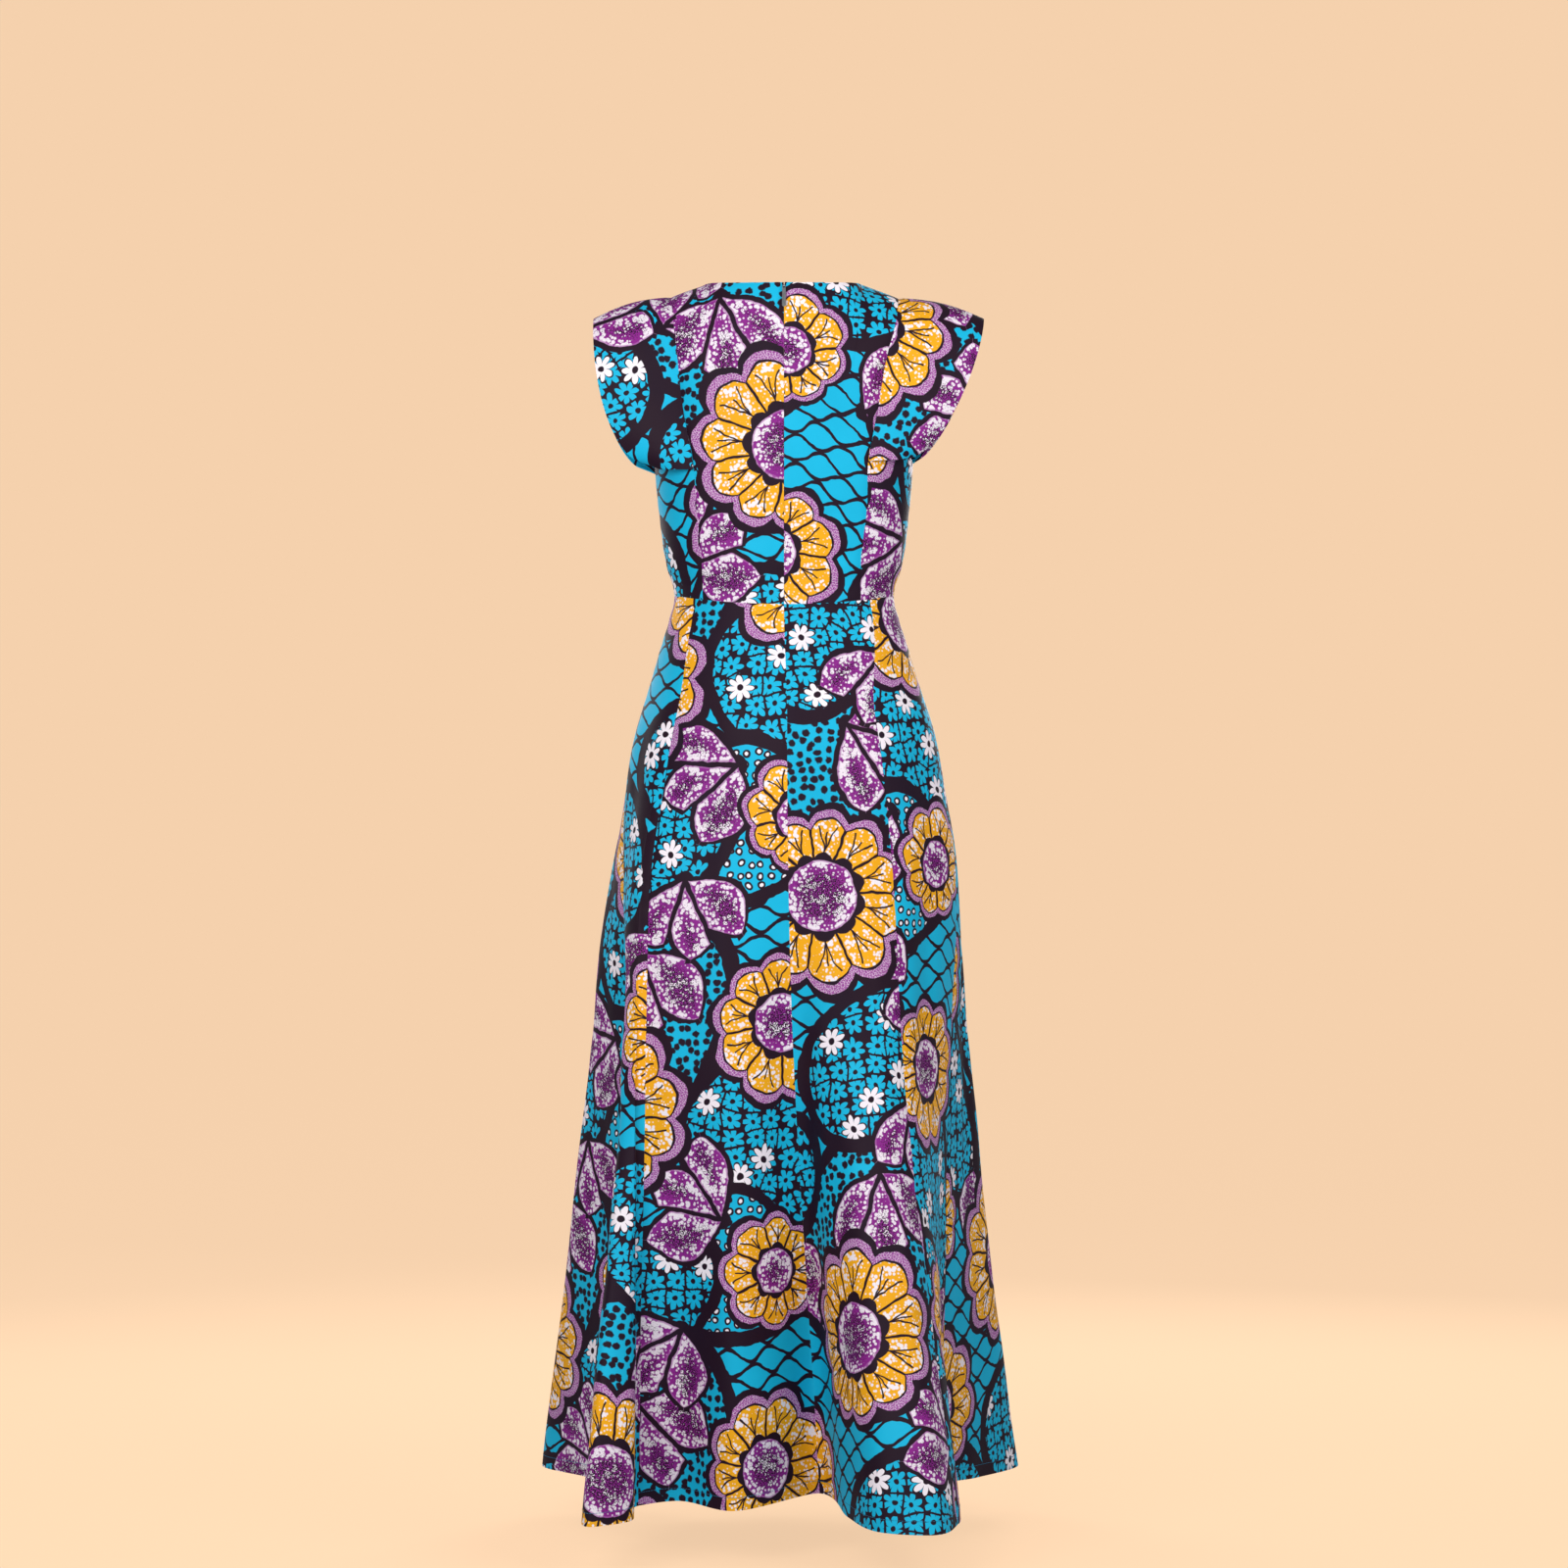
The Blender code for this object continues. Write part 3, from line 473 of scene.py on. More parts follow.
def skirt_surface(first, last, lanes, shares):
    """The gore between two seams. Share 1 is the hem and share 0 is the waist."""
    start, end = gore_span(first, last)
    waist = math.radians(first.waist), math.radians(last.waist + 360 * (last.waist <= first.waist))
    at = start + (end - start) * lanes
    at_waist = waist[0] + (waist[1] - waist[0]) * lanes
    at_hip = np.radians(around(column(FOLDS, "hip"), at, turn=360))
    knee = np.stack([around(column(FOLDS, name), at) for name in ("knee_x", "knee_y")], axis=1)
    hem = np.stack([around(column(FOLDS, name), at) for name in ("hem_x", "hem_y")], axis=1)
    top = waist_z(at_waist)
    bottom = HEM_Z + around(column(FOLDS, "lift"), at)
    knee_from = knee - np.stack(on_section(at_hip, top + (bottom - top) * KNEE_SHARE), axis=1)
    hem_from = hem - np.stack(on_section(at_hip, np.full_like(at, SECTIONS[0].z)), axis=1)
    grid = []
    for share in shares:
        to_hip = min(share / HIP_SHARE, 1)
        to_hip = to_hip * to_hip * (3 - 2 * to_hip)
        angle = at_waist + (at_hip - at_waist) * to_hip
        z = top + (bottom - top) * share
        x, y = on_section(angle, np.maximum(z, SECTIONS[0].z))
        fold = fold_growth(share, knee_from, hem_from)
        grid.append(np.stack([x + fold[:, 0], y + fold[:, 1], z], axis=1))
    return np.array(grid)


front_gore = gore_width(SKIRT_SEAMS[3], SKIRT_SEAMS[4])
print("front gore at the hem:", round(float(front_gore), 3), "m")

# %% [markdown]
# ## Creases and seams
#
# Worn cotton is never perfectly smooth. Its creases could be sculpted or painted as a bump,
# but a table of them is easy to read and change, and they stay real geometry that catches
# the light from every side. Each is seen from one side of the dress, runs between two
# points there, and is a trough (depth below zero) or a soft ridge. The same table works for
# every panel that it crosses, so a crease runs on over a seam. A slow ripple comes on top.

# %% Table of creases, in metres as seen from one side
BACK, RIGHT, FRONT, LEFT = 0, 90, 180, 270  # degrees round the dress
Crease = namedtuple("Crease", "seen_from start end bow width depth")
CREASES = (
    # Pulled lines over the back of the waist.
    Crease(BACK, (-0.030, -0.338), (-0.088, -0.318), 0.004, 0.006, -0.0016),
    Crease(BACK, (0.026, -0.332), (0.082, -0.306), -0.005, 0.006, -0.0014),
    Crease(BACK, (-0.018, -0.298), (-0.070, -0.282), 0.003, 0.007, -0.0010),
    Crease(BACK, (0.020, -0.284), (0.078, -0.262), 0.003, 0.007, -0.0011),
    Crease(BACK, (-0.100, -0.350), (-0.126, -0.322), 0.002, 0.005, -0.0012),
    Crease(BACK, (0.100, -0.350), (0.124, -0.326), -0.002, 0.005, -0.0012),
    Crease(BACK, (-0.016, -0.404), (-0.078, -0.424), -0.004, 0.008, -0.0014),
    Crease(BACK, (0.020, -0.398), (0.084, -0.414), 0.004, 0.008, -0.0013),
    Crease(BACK, (0.012, -0.440), (0.060, -0.470), 0.006, 0.010, -0.0012),
    # Soft falls from the hip into the skirt.
    Crease(BACK, (-0.088, -0.470), (-0.118, -0.900), 0.012, 0.018, -0.0030),
    Crease(BACK, (-0.044, -0.560), (-0.040, -1.020), -0.008, 0.016, -0.0026),
    Crease(BACK, (0.060, -0.520), (0.076, -1.050), 0.010, 0.015, -0.0026),
    Crease(BACK, (0.118, -0.560), (0.150, -1.120), -0.010, 0.016, -0.0030),
    Crease(BACK, (-0.150, -0.700), (-0.176, -1.300), 0.006, 0.014, -0.0024),
    Crease(BACK, (0.176, -0.760), (0.196, -1.280), 0.006, 0.014, 0.0024),
    Crease(RIGHT, (-0.060, -0.430), (-0.110, -1.000), 0.010, 0.018, -0.0030),
    Crease(RIGHT, (0.050, -0.470), (0.090, -1.060), -0.012, 0.018, -0.0028),
    Crease(LEFT, (0.040, -0.440), (0.072, -1.020), 0.010, 0.018, -0.0030),
    Crease(LEFT, (-0.060, -0.460), (-0.104, -1.080), -0.010, 0.016, -0.0028),
    Crease(FRONT, (-0.070, -0.430), (-0.104, -1.080), 0.012, 0.018, -0.0030),
    Crease(FRONT, (0.066, -0.450), (0.100, -1.040), -0.010, 0.018, -0.0028),
    Crease(FRONT, (0.006, -0.520), (0.012, -1.160), 0.010, 0.020, 0.0026),
    Crease(FRONT, (-0.030, -0.332), (-0.086, -0.312), 0.004, 0.006, -0.0014),
    Crease(FRONT, (0.028, -0.328), (0.084, -0.304), -0.005, 0.006, -0.0013),
)
print("creases:", len(CREASES), "deepest:", max(abs(crease.depth) for crease in CREASES), "m")

# %% How far creases and ripples move the cloth
Ripple = namedtuple("Ripple", "direction length depth phase")
RIPPLES = (
    Ripple((0.9, 0.3, 0.25), 0.190, 0.0011, 0.4),
    Ripple((0.5, -0.8, 0.15), 0.131, 0.0008, 1.9),
    Ripple((0.3, 0.5, 0.80), 0.152, 0.0005, 4.1),
    Ripple((0.8, -0.2, -0.50), 0.083, 0.0004, 2.6),
)
CREASE_END = 0.25  # share of a crease over which it fades at each end
CREASE_FLOOR = 0.15
FACING_GAIN = 2.5  # a crease fades out where the cloth turns away from its side
RIPPLE_TOP_Z = -0.10  # the ripple grows downwards from here
RIPPLE_FALL = 0.5
RIPPLE_LEAST = 0.25


def crease_depth(points, outward, crease):
    """How far this crease moves each point of the cloth outwards."""
    turn = math.radians(crease.seen_from)
    sideways = points[..., 0] * math.cos(turn) + points[..., 1] * math.sin(turn)
    facing = outward[..., 0] * math.sin(turn) - outward[..., 1] * math.cos(turn)
    start, end = np.array(crease.start), np.array(crease.end)
    run = end - start
    length = np.linalg.norm(run)
    run = run / length
    from_start = np.stack([sideways, points[..., 2]], axis=-1) - start
    share = (from_start @ run) / length
    bow = crease.bow * 4 * np.clip(share, 0, 1) * (1 - np.clip(share, 0, 1))
    beside = from_start[..., 0] * -run[1] + from_start[..., 1] * run[0] - bow
    ends = np.clip(np.minimum(share, 1 - share) / CREASE_END + CREASE_FLOOR, 0, 1)
    taper = ends * ends * (3 - 2 * ends)
    seen = np.clip(facing * FACING_GAIN, 0, 1)
    return crease.depth * taper * seen * np.exp(-((beside / crease.width) ** 2))


def creased(points, outward):
    """How far the creases and the slow ripple move each point outwards."""
    depth = sum(crease_depth(points, outward, crease) for crease in CREASES)
    grown = np.clip((RIPPLE_TOP_Z - points[..., 2]) / RIPPLE_FALL, RIPPLE_LEAST, 1)
    for ripple in RIPPLES:
        along_it = points @ (np.array(ripple.direction) * (2 * math.pi / ripple.length))
        depth = depth + grown * ripple.depth * np.sin(along_it + ripple.phase)
    return depth


together = sum(ripple.depth for ripple in RIPPLES)
print("ripples:", len(RIPPLES), "together up to", round(together, 4), "m")

# %% [markdown]
# ## From a surface to a piece of cloth
#
# Each piece is a thin closed shell: one skin a little outside its surface, one a little
# inside, and a narrow rim. Where an edge is turned under and stitched, such as the hem, the
# cloth is doubled and the inner skin lies deeper. A Solidify modifier could make the wall,
# but writing both skins together gives each point its own depth. Rows and lanes lie closer
# beside a sewn edge, where the cloth dips.

# %% Rows and lanes of a panel
NEAR_EDGE = np.array([0.0013, 0.0030, 0.0055])  # extra rows beside a sewn edge
NEAR_EDGE_END = 0.008


def graded(step, length, first=True, last=True):
    """Shares of a run of this length, an even step apart but closer near a sewn edge."""
    near = NEAR_EDGE / length
    inner = np.linspace(0, 1, max(4, round(length / step)) + 1)
    start = NEAR_EDGE_END / length if first else 0.0
    end = 1 - NEAR_EDGE_END / length if last else 1.0
    inner = inner[(inner > start) & (inner < end)]
    low = [0.0, *near] if first else [0.0]
    high = [*(1 - near[::-1]), 1.0] if last else [1.0]
    return np.unique(np.concatenate([low, inner, high]))


def running(points, axis):
    """Distance travelled along the rows or the lanes of a grid, from its first point."""
    steps = np.linalg.norm(np.diff(points, axis=axis), axis=2)
    start = np.zeros_like(np.take(steps, [0], axis=axis))
    return np.concatenate([start, np.cumsum(steps, axis=axis)], axis=axis)


def area_of(grid):
    across = np.cross(np.diff(grid, axis=1)[:-1], np.diff(grid, axis=0)[:, :-1])
    return float(np.linalg.norm(across, axis=2).sum())


def skin_faces(rows, lanes):
    corner = (np.arange(rows - 1)[:, None] * lanes + np.arange(lanes - 1)[None]).ravel()
    return np.stack([corner, corner + 1, corner + lanes + 1, corner + lanes], axis=1)


print("skirt rows at 6 mm:", len(graded(0.006, WAIST_SIDE_Z - HEM_Z)))

# %% [markdown]
# ## Onto the cutting table
#
# A print follows the cloth, so each panel needs its flat layout, as it was cut. Projecting
# the print from one side would stretch it where the cloth turns away. Blender's conformal
# unwrap keeps each small square of the panel square instead. The layout is in metres and
# stays with the piece as the map "cut". So the print has one scale on every panel, and it
# breaks at every seam, as on a real dress.

# %% New objects and meshes
def new_object(name, data):
    made = bpy.data.objects.new(name, data)
    bpy.context.scene.collection.objects.link(made)
    return made


def new_mesh(name, points, edges, faces):
    mesh = bpy.data.meshes.new(name)
    mesh.from_pydata(points, edges, faces)
    return mesh


def loop_corners(mesh):
    """The number of the vertex at each face corner."""
    corners = np.empty(len(mesh.loops), dtype=np.int32)
    mesh.loops.foreach_get("vertex_index", corners)
    return corners


# %% Panels laid flat
def laid_flat(grid):
    """The panel unrolled onto the cutting table, in metres.

    Blender's unwrap keeps each small square square. The layout is then given the panel's
    real area and turned until up the panel is up the table.
    """
    rows, lanes = grid.shape[:2]
    faces = skin_faces(rows, lanes).tolist()
    mesh = new_mesh("unrolled", grid.reshape(-1, 3).tolist(), [], faces)
    mesh.uv_layers.new(name="table")
    panel = new_object("unrolled", mesh)
    for other in bpy.context.selected_objects:
        other.select_set(False)
    panel.select_set(True)
    bpy.context.view_layer.objects.active = panel
    bpy.ops.object.mode_set(mode="EDIT")
    bpy.ops.mesh.select_all(action="SELECT")
    bpy.ops.uv.unwrap(method="CONFORMAL", correct_aspect=False, margin=0)
    bpy.ops.object.mode_set(mode="OBJECT")
    places = np.empty(2 * len(mesh.loops), dtype=np.float32)
    mesh.uv_layers["table"].data.foreach_get("uv", places)
    flat = np.zeros((rows * lanes, 2))
    flat[loop_corners(mesh)] = places.reshape(-1, 2)
    bpy.data.objects.remove(panel)
    bpy.data.meshes.remove(mesh)
    flat = flat.reshape(rows, lanes, 2) - flat.mean(axis=0)
    side, climb = np.diff(flat, axis=1)[:-1], np.diff(flat, axis=0)[:, :-1]
    drawn = np.abs(side[..., 0] * climb[..., 1] - side[..., 1] * climb[..., 0]).sum()
    flat *= math.sqrt(area_of(grid) / drawn)
    across = running(grid, 1)
    upright = np.stack([across - across[:, [lanes // 2]], running(grid, 0)], axis=2)
    upright = upright.reshape(-1, 2)
    turn, _, back = np.linalg.svd(flat.reshape(-1, 2).T @ (upright - upright.mean(axis=0)))
    return flat @ (turn @ back)


square = np.stack([*np.meshgrid([0, 0.1, 0.2], [0, 0.1, 0.2]), np.zeros((3, 3))], axis=2)
print("a 20 cm square laid flat:", np.ptp(laid_flat(square), axis=(0, 1)).round(3), "m")

# %% What sewing does to an edge
SEAM_GAP = 0.0003
SEAM_CLOSE = 0.00002
SEAM_DIP = 0.0007
SEAM_DIP_WIDTH = 0.0035
PUCKER_DEPTH = 0.00045
PUCKER_WIDTH = 0.012
PUCKER_LENGTH = 0.024
SEAM_ROUND = 0.13  # metres of a level seam for each radian round the dress


def drawn_in(grid, low=SEAM_CLOSE, high=SEAM_CLOSE, first=SEAM_CLOSE, last=SEAM_CLOSE):
    """Pulls the edges of a grid back, so that it stays clear of the panels sewn to it."""
    grid = grid.copy()
    for edge, inner, distance in ((0, 1, low), (-1, -2, high)):
        step = grid[inner] - grid[edge]
        grid[edge] += step / np.linalg.norm(step, axis=1, keepdims=True) * distance
    for edge, inner, distance in ((0, 1, first), (-1, -2, last)):
        step = grid[:, inner] - grid[:, edge]
        distance = np.broadcast_to(distance, len(grid))[:, None]
        grid[:, edge] += step / np.linalg.norm(step, axis=1, keepdims=True) * distance
    return grid


def seam_relief(grid, sewn):
    """The dip and the puckers along the sewn edges of a panel: "low", "high", "first", "last"."""
    across, up = running(grid, 1), running(grid, 0)
    height, around_it = grid[..., 2], SEAM_ROUND * np.arctan2(grid[..., 0], -grid[..., 1])
    far = {
        "first": (across, height), "last": (across[:, [-1]] - across, height),
        "low": (up, around_it), "high": (up[[-1]] - up, around_it),
    }
    dip = np.zeros(grid.shape[:2])
    puckers = np.zeros(grid.shape[:2])
    for edge in sewn:
        distance, place = far[edge]
        dip = np.maximum(dip, np.exp(-((distance / SEAM_DIP_WIDTH) ** 2)))
        uneven = 0.55 + 0.45 * np.sin(17 * place + 1.3)
        wave = np.sin(place * 2 * math.pi / PUCKER_LENGTH + 1.5 * np.sin(29 * place))
        puckers += uneven * wave * np.exp(-((distance / PUCKER_WIDTH) ** 2))
    return PUCKER_DEPTH * puckers - SEAM_DIP * dip


print("seams dip by", SEAM_DIP, "m and pucker every", PUCKER_LENGTH, "m")

# %% A closed shell of cloth
CLOTH = 0.0008
TURNING = 0.0007  # the second layer under a turned edge
SHARP_ANGLE = math.radians(50)


def shell(name, middle, outward, flat, inner):
    """A closed mesh: outer skin, inner skin and the rim between them."""
    rows, lanes = middle.shape[:2]
    count = rows * lanes
    outer = middle + outward * CLOTH / 2
    under = middle - outward * (CLOTH / 2 + inner)[..., None]
    index = np.arange(count).reshape(rows, lanes)
    ring = np.concatenate([index[0, :-1], index[:-1, -1], index[-1, :0:-1], index[:0:-1, 0]])
    ahead = np.roll(ring, -1)
    skin = skin_faces(rows, lanes)
    rim = np.stack([ahead, ring, ring + count, ahead + count], axis=1)
    faces = np.concatenate([skin, skin[:, ::-1] + count, rim])
    points = np.concatenate([outer.reshape(-1, 3), under.reshape(-1, 3)])
    mesh = new_mesh(name, points, [], faces.tolist())
    places = flat.reshape(-1, 2)[loop_corners(mesh) % count]
    mesh.uv_layers.new(name="cut").data.foreach_set("uv", places.astype(np.float32).ravel())
    mesh.shade_smooth()
    mesh.set_sharp_from_angle(angle=SHARP_ANGLE)
    return new_object(name, mesh)


print("cloth", CLOTH, "m thick, and", round(CLOTH + TURNING, 4), "m at a turned edge")

# %% A finished panel
Piece = namedtuple("Piece", "object flat_size area")
made_cloth = {}


def outside(grid, *fields):
    """The grid and its fields, with their lanes turned so that the faces look outwards."""
    turned = facing_out(grid) is not grid
    return [field[:, ::-1] if turned else field for field in (grid, *fields)]


def keep(node, made, flat, area):
    """Notes a finished panel with its flat size: width by height, the grain upright."""
    width, height = np.ptp(flat.reshape(-1, 2), axis=0).tolist()
    made_cloth[node] = Piece(made, (width, height), area)
    print(f"{node:24s} flat {width:.3f} x {height:.3f} m, area {area:.4f} m2")


def cloth(node, grid, sewn, turned=0.0, **edges):
    """One panel of the dress, from its surface to the finished shell."""
    relief = seam_relief(grid, sewn)
    inner = TURNING * turned + np.zeros(grid.shape[:2])
    flat = laid_flat(grid)
    area = area_of(grid)
    grid, relief, inner, flat = outside(drawn_in(grid, **edges), relief, inner, flat)
    outward = normals_of(grid)
    middle = grid + outward * (relief + creased(grid, outward))[..., None]
    keep(node, shell("cloth_" + node, middle, normals_of(middle), flat, inner), flat, area)


def turned_edge(distance, width):
    """1 over a turned edge of this width and 0 beyond it."""
    return (distance < width).astype(float)


def from_top(grid):
    up = running(grid, 0)
    return up[[-1]] - up


print("a panel keeps its", ", ".join(Piece._fields))

# %% [markdown]
# ## The panels
#
# The skirt has seven gores and the bodice seven panels, and the two caps are set into the
# armholes last. One mesh for the whole dress would be simpler, but each panel is an object
# of its own here, because each is cut from another place of the cloth and takes the place
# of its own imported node. The seam gap between neighbours is too narrow to see through.

# %% The skirt's seven gores
SKIRT_STEP = 0.0062
HEM_TURNING = 0.017
SKIRT_NAMES = (
    "back_right", "side_back_right", "side_front_right", "front",
    "side_front_left", "side_back_left", "back_left",
)
gores = list(zip(SKIRT_NAMES, SKIRT_SEAMS, (*SKIRT_SEAMS[1:], SKIRT_SEAMS[0])))
skirt_length = WAIST_SIDE_Z - HEM_Z

for name, first, last in gores:
    lanes = graded(SKIRT_STEP, gore_width(first, last))
    shares = 1 - graded(SKIRT_STEP, skirt_length)
    surface = skirt_surface(first, last, lanes, shares)
    hem = turned_edge(running(surface, 0), HEM_TURNING)
    cloth("skirt_" + name, surface, ["high", "first", "last"], hem, low=0)

# %% The bodice
BODICE_STEP = 0.0048
SIDE_PANEL_WIDTH = 0.09
NECK_TURNING = 0.010
NOTCH_FOOT = 0.016  # below the neck, where the back edges start to part for the slider
NOTCH_OPEN = 0.010  # below the neck, from where they are fully parted
BRIDGE_WIDTH = 0.0015


def parting(z):
    """Half of the gap along the centre back, which opens near the top for the slider."""
    top = NECK_BACK_Z - NOTCH_OPEN
    opened = np.clip(1 - (top - z) / (NOTCH_FOOT - NOTCH_OPEN), 0, 1)
    return SEAM_GAP / 2 + (BRIDGE_WIDTH + SEAM_GAP) / 2 * opened


def half_lanes(step):
    """Lanes of a back or front half. The neck point has its own, and the neck is finer."""
    shoulder_x = 0.5 * (PRINCESS[-1].left + PRINCESS[-1].right)
    neck = NECK_HALF / shoulder_x
    over_neck = neck * np.sin(np.linspace(0, math.pi / 2, round(NECK_HALF / step) + 1))
    over_shoulder = neck + (1 - neck) * graded(step, shoulder_x - NECK_HALF, first=False)[1:]
    near = NEAR_EDGE[:2] / shoulder_x
    return np.unique(np.concatenate([[0.0], near, over_neck[1:], over_shoulder]))


def half_rows(facing, step):
    arch = BACK_ARCH if facing < 0 else FRONT_ARCH
    low = arch.share * graded(step, arch.share * (CHEST_Z - WAIST_SIDE_Z), last=False)
    return low, graded(step, ARCH_LENGTH, first=False)[1:]


def bodice_half(sign, facing):
    return half_surface(sign, facing, half_lanes(BODICE_STEP), *half_rows(facing, BODICE_STEP))


def necked(node, surface, **edges):
    """A panel that reaches the neck, where its edge is turned under."""
    neck = turned_edge(from_top(surface), NECK_TURNING)
    cloth(node, surface, ["low", "high", "first", "last"], neck, **edges)


for side, sign in (("left", -1), ("right", 1)):
    back = bodice_half(sign, -1)
    necked("bodice_back_" + side, back, first=parting(back[:, 0, 2]))
    for facing, place in ((-1, "back"), (1, "front")):
        shares = ARMHOLE_SHARE * graded(BODICE_STEP, ARMHOLE_SHARE * (CHEST_Z - WAIST_SIDE_Z))
        panel = side_surface(sign, facing, graded(BODICE_STEP, SIDE_PANEL_WIDTH), shares)
        cloth(f"bodice_side_{place}_{side}", panel, ["low", "first", "last"], high=0)
halves = [bodice_half(-1, 1)[:, ::-1], bodice_half(1, 1)[:, 1:]]
necked("bodice_front", np.concatenate(halves, axis=1))

# %% The winged caps
WING_STEP = 0.0045
CAP_WIDTH = 0.09
CAP_ROOT = 0.42
CAP_TURNING = 0.010
CAP_CREASES = 0.5  # a stiffened cap creases half as much
for wing in WINGS:
    shares = graded(WING_STEP, CAP_ROOT, first=False, last=False)
    surface = wing_surface(wing, graded(WING_STEP, CAP_WIDTH), shares)
    if normals_of(surface)[len(surface) // 2, :, 2].mean() < 0:
        surface = surface[::-1]
    flat = laid_flat(surface)
    outward = normals_of(surface)
    to_edge = running(surface, 1)
    to_edge = to_edge[:, [-1]] - to_edge
    relief = CAP_CREASES * creased(surface, outward) + seam_relief(surface, ["first"])
    middle = surface + outward * relief[..., None]
    inner = TURNING * turned_edge(to_edge, CAP_TURNING)
    made = shell("cloth_sleeve_" + wing.side, middle, normals_of(middle), flat, inner)
    keep("sleeve_" + wing.side, made, flat, area_of(surface))
print("cloth faces:", sum(len(piece.object.data.polygons) for piece in made_cloth.values()))

# %% [markdown]
# ## The wax print
#
# Wax print cotton is dyed around wax, so its motifs have dark outlines, white bubbles and a
# fine crackle. This print is a general one: scalloped flowers, leaf sprays and round banded
# fields lie on a repeat of 43 by 52 centimetres, each column half a repeat lower than the
# last. A painted picture could hold it, but would blur close up. Here each colour is worked
# out from the place on the cloth, in shader node groups, so every outline stays sharp. A
# group gives only colours, masks and values; the shader itself stays in the material.

# %% Dyes
def ink(red, green, blue):
    """A dye given as it looks on the cloth, 0 to 255, made a linear colour."""
    channels = [value / 255 for value in (red, green, blue)]
    linear = [c / 12.92 if c <= 0.04045 else ((c + 0.055) / 1.055) ** 2.4 for c in channels]
    return (*linear, 1.0)


SKY = ink(18, 184, 225)
PLUM = ink(34, 12, 30)
LILAC = ink(170, 98, 168)
VIOLET = ink(142, 36, 140)
AMBER = ink(248, 174, 20)
WHITE = ink(250, 240, 248)
print("sky blue as a linear colour:", [round(channel, 3) for channel in SKY[:3]])

# %% [markdown]
# ## Formulas made of nodes
#
# A motif takes dozens of math nodes, and linking each by hand would hide its formula. A
# small class carries one socket through the tree and adds a node for every sign. So
# `x * x + y * y` builds three nodes and still reads as what it means.

# %% A value on its way through a node tree
class Flow:
    """One socket's value on its way through a node tree, so that a formula reads as one."""

    def __init__(self, tree, socket):
        self.tree = tree
        self.socket = socket

    def step(self, operation, *others, clamp=False):
        node = self.tree.nodes.new("ShaderNodeMath")
        node.operation = operation
        node.use_clamp = clamp
        for value, socket in zip((self, *others), node.inputs):
            feed(self.tree, value, socket)
        return Flow(self.tree, node.outputs[0])

    def __add__(self, other):
        return self.step("ADD", other)

    def __sub__(self, other):
        return self.step("SUBTRACT", other)

    def __mul__(self, other):
        return self.step("MULTIPLY", other)

    def __truediv__(self, other):
        return self.step("DIVIDE", other)

    def __pow__(self, other):
        return self.step("POWER", other)

    def __neg__(self):
        return self.step("MULTIPLY", -1)

    def __rsub__(self, other):
        return self.step("MULTIPLY_ADD", -1, other)

    __radd__ = __add__
    __rmul__ = __mul__


def feed(tree, value, socket):
    if isinstance(value, Flow):
        tree.links.new(value.socket, socket)
    else:
        socket.default_value = value


def nodes_in(formula):
    """How many nodes a formula of one value adds to a tree."""
    trial = bpy.data.node_groups.new("trial", "ShaderNodeTree")
    formula(Flow(trial, trial.nodes.new("ShaderNodeValue").outputs[0]))
    count = len(trial.nodes) - 1
    bpy.data.node_groups.remove(trial)
    return count


print("x * x + y * y takes", nodes_in(lambda x: x * x + x * x), "nodes")


# %% Formulas that the motifs share
def sine(x):
    return x.step("SINE")


def size_of(x):
    return x.step("ABSOLUTE")


def least(a, b):
    return a.step("MINIMUM", b)


def most(a, b):
    return a.step("MAXIMUM", b)


def held_between(x, low, high):
    return least(most(x, low), high)


def distance(x, y):
    return (x * x + y * y).step("SQRT")


def polar(x, y):
    """Distance from the middle, and the angle there."""
    return distance(x, y), y.step("ARCTAN2", x)


def nearest(x):
    """x rounded to the nearest whole number."""
    return (x + 0.5).step("FLOOR")


def under(value, limit, soft=0.0006):
    """1 where value is under the limit and 0 where it is over, with an edge `soft` wide."""
    return (limit - value).step("MULTIPLY_ADD", 1 / soft, 0.5, clamp=True)


print("a distance and an angle take", nodes_in(lambda x: polar(x, x)), "nodes")


# %% One dye over another, and places on the cloth
def paint(below, above, mask):
    """`above` laid over `below` where the mask is 1."""
    node = mask.tree.nodes.new("ShaderNodeMix")
    node.data_type = "RGBA"
    for value, name in ((mask, "Factor_Float"), (below, "A_Color"), (above, "B_Color")):
        socket = next(one for one in node.inputs if one.identifier == name)
        feed(mask.tree, value, socket)
    mixed = next(one for one in node.outputs if one.identifier == "Result_Color")
    return Flow(mask.tree, mixed)


def parts(vector):
    node = vector.tree.nodes.new("ShaderNodeSeparateXYZ")
    feed(vector.tree, vector, node.inputs[0])
    return [Flow(vector.tree, socket) for socket in node.outputs]


def joined(tree, x, y):
    node = tree.nodes.new("ShaderNodeCombineXYZ")
    for value, socket in zip((x, y), node.inputs):
        feed(tree, value, socket)
    return Flow(tree, node.outputs[0])


print("a dye with a soft edge takes", nodes_in(lambda x: paint(SKY, PLUM, under(x, 0.5))), "nodes")

# %% Node groups with named inputs and outputs
SOCKETS = {"value": "NodeSocketFloat", "vector": "NodeSocketVector", "colour": "NodeSocketColor"}


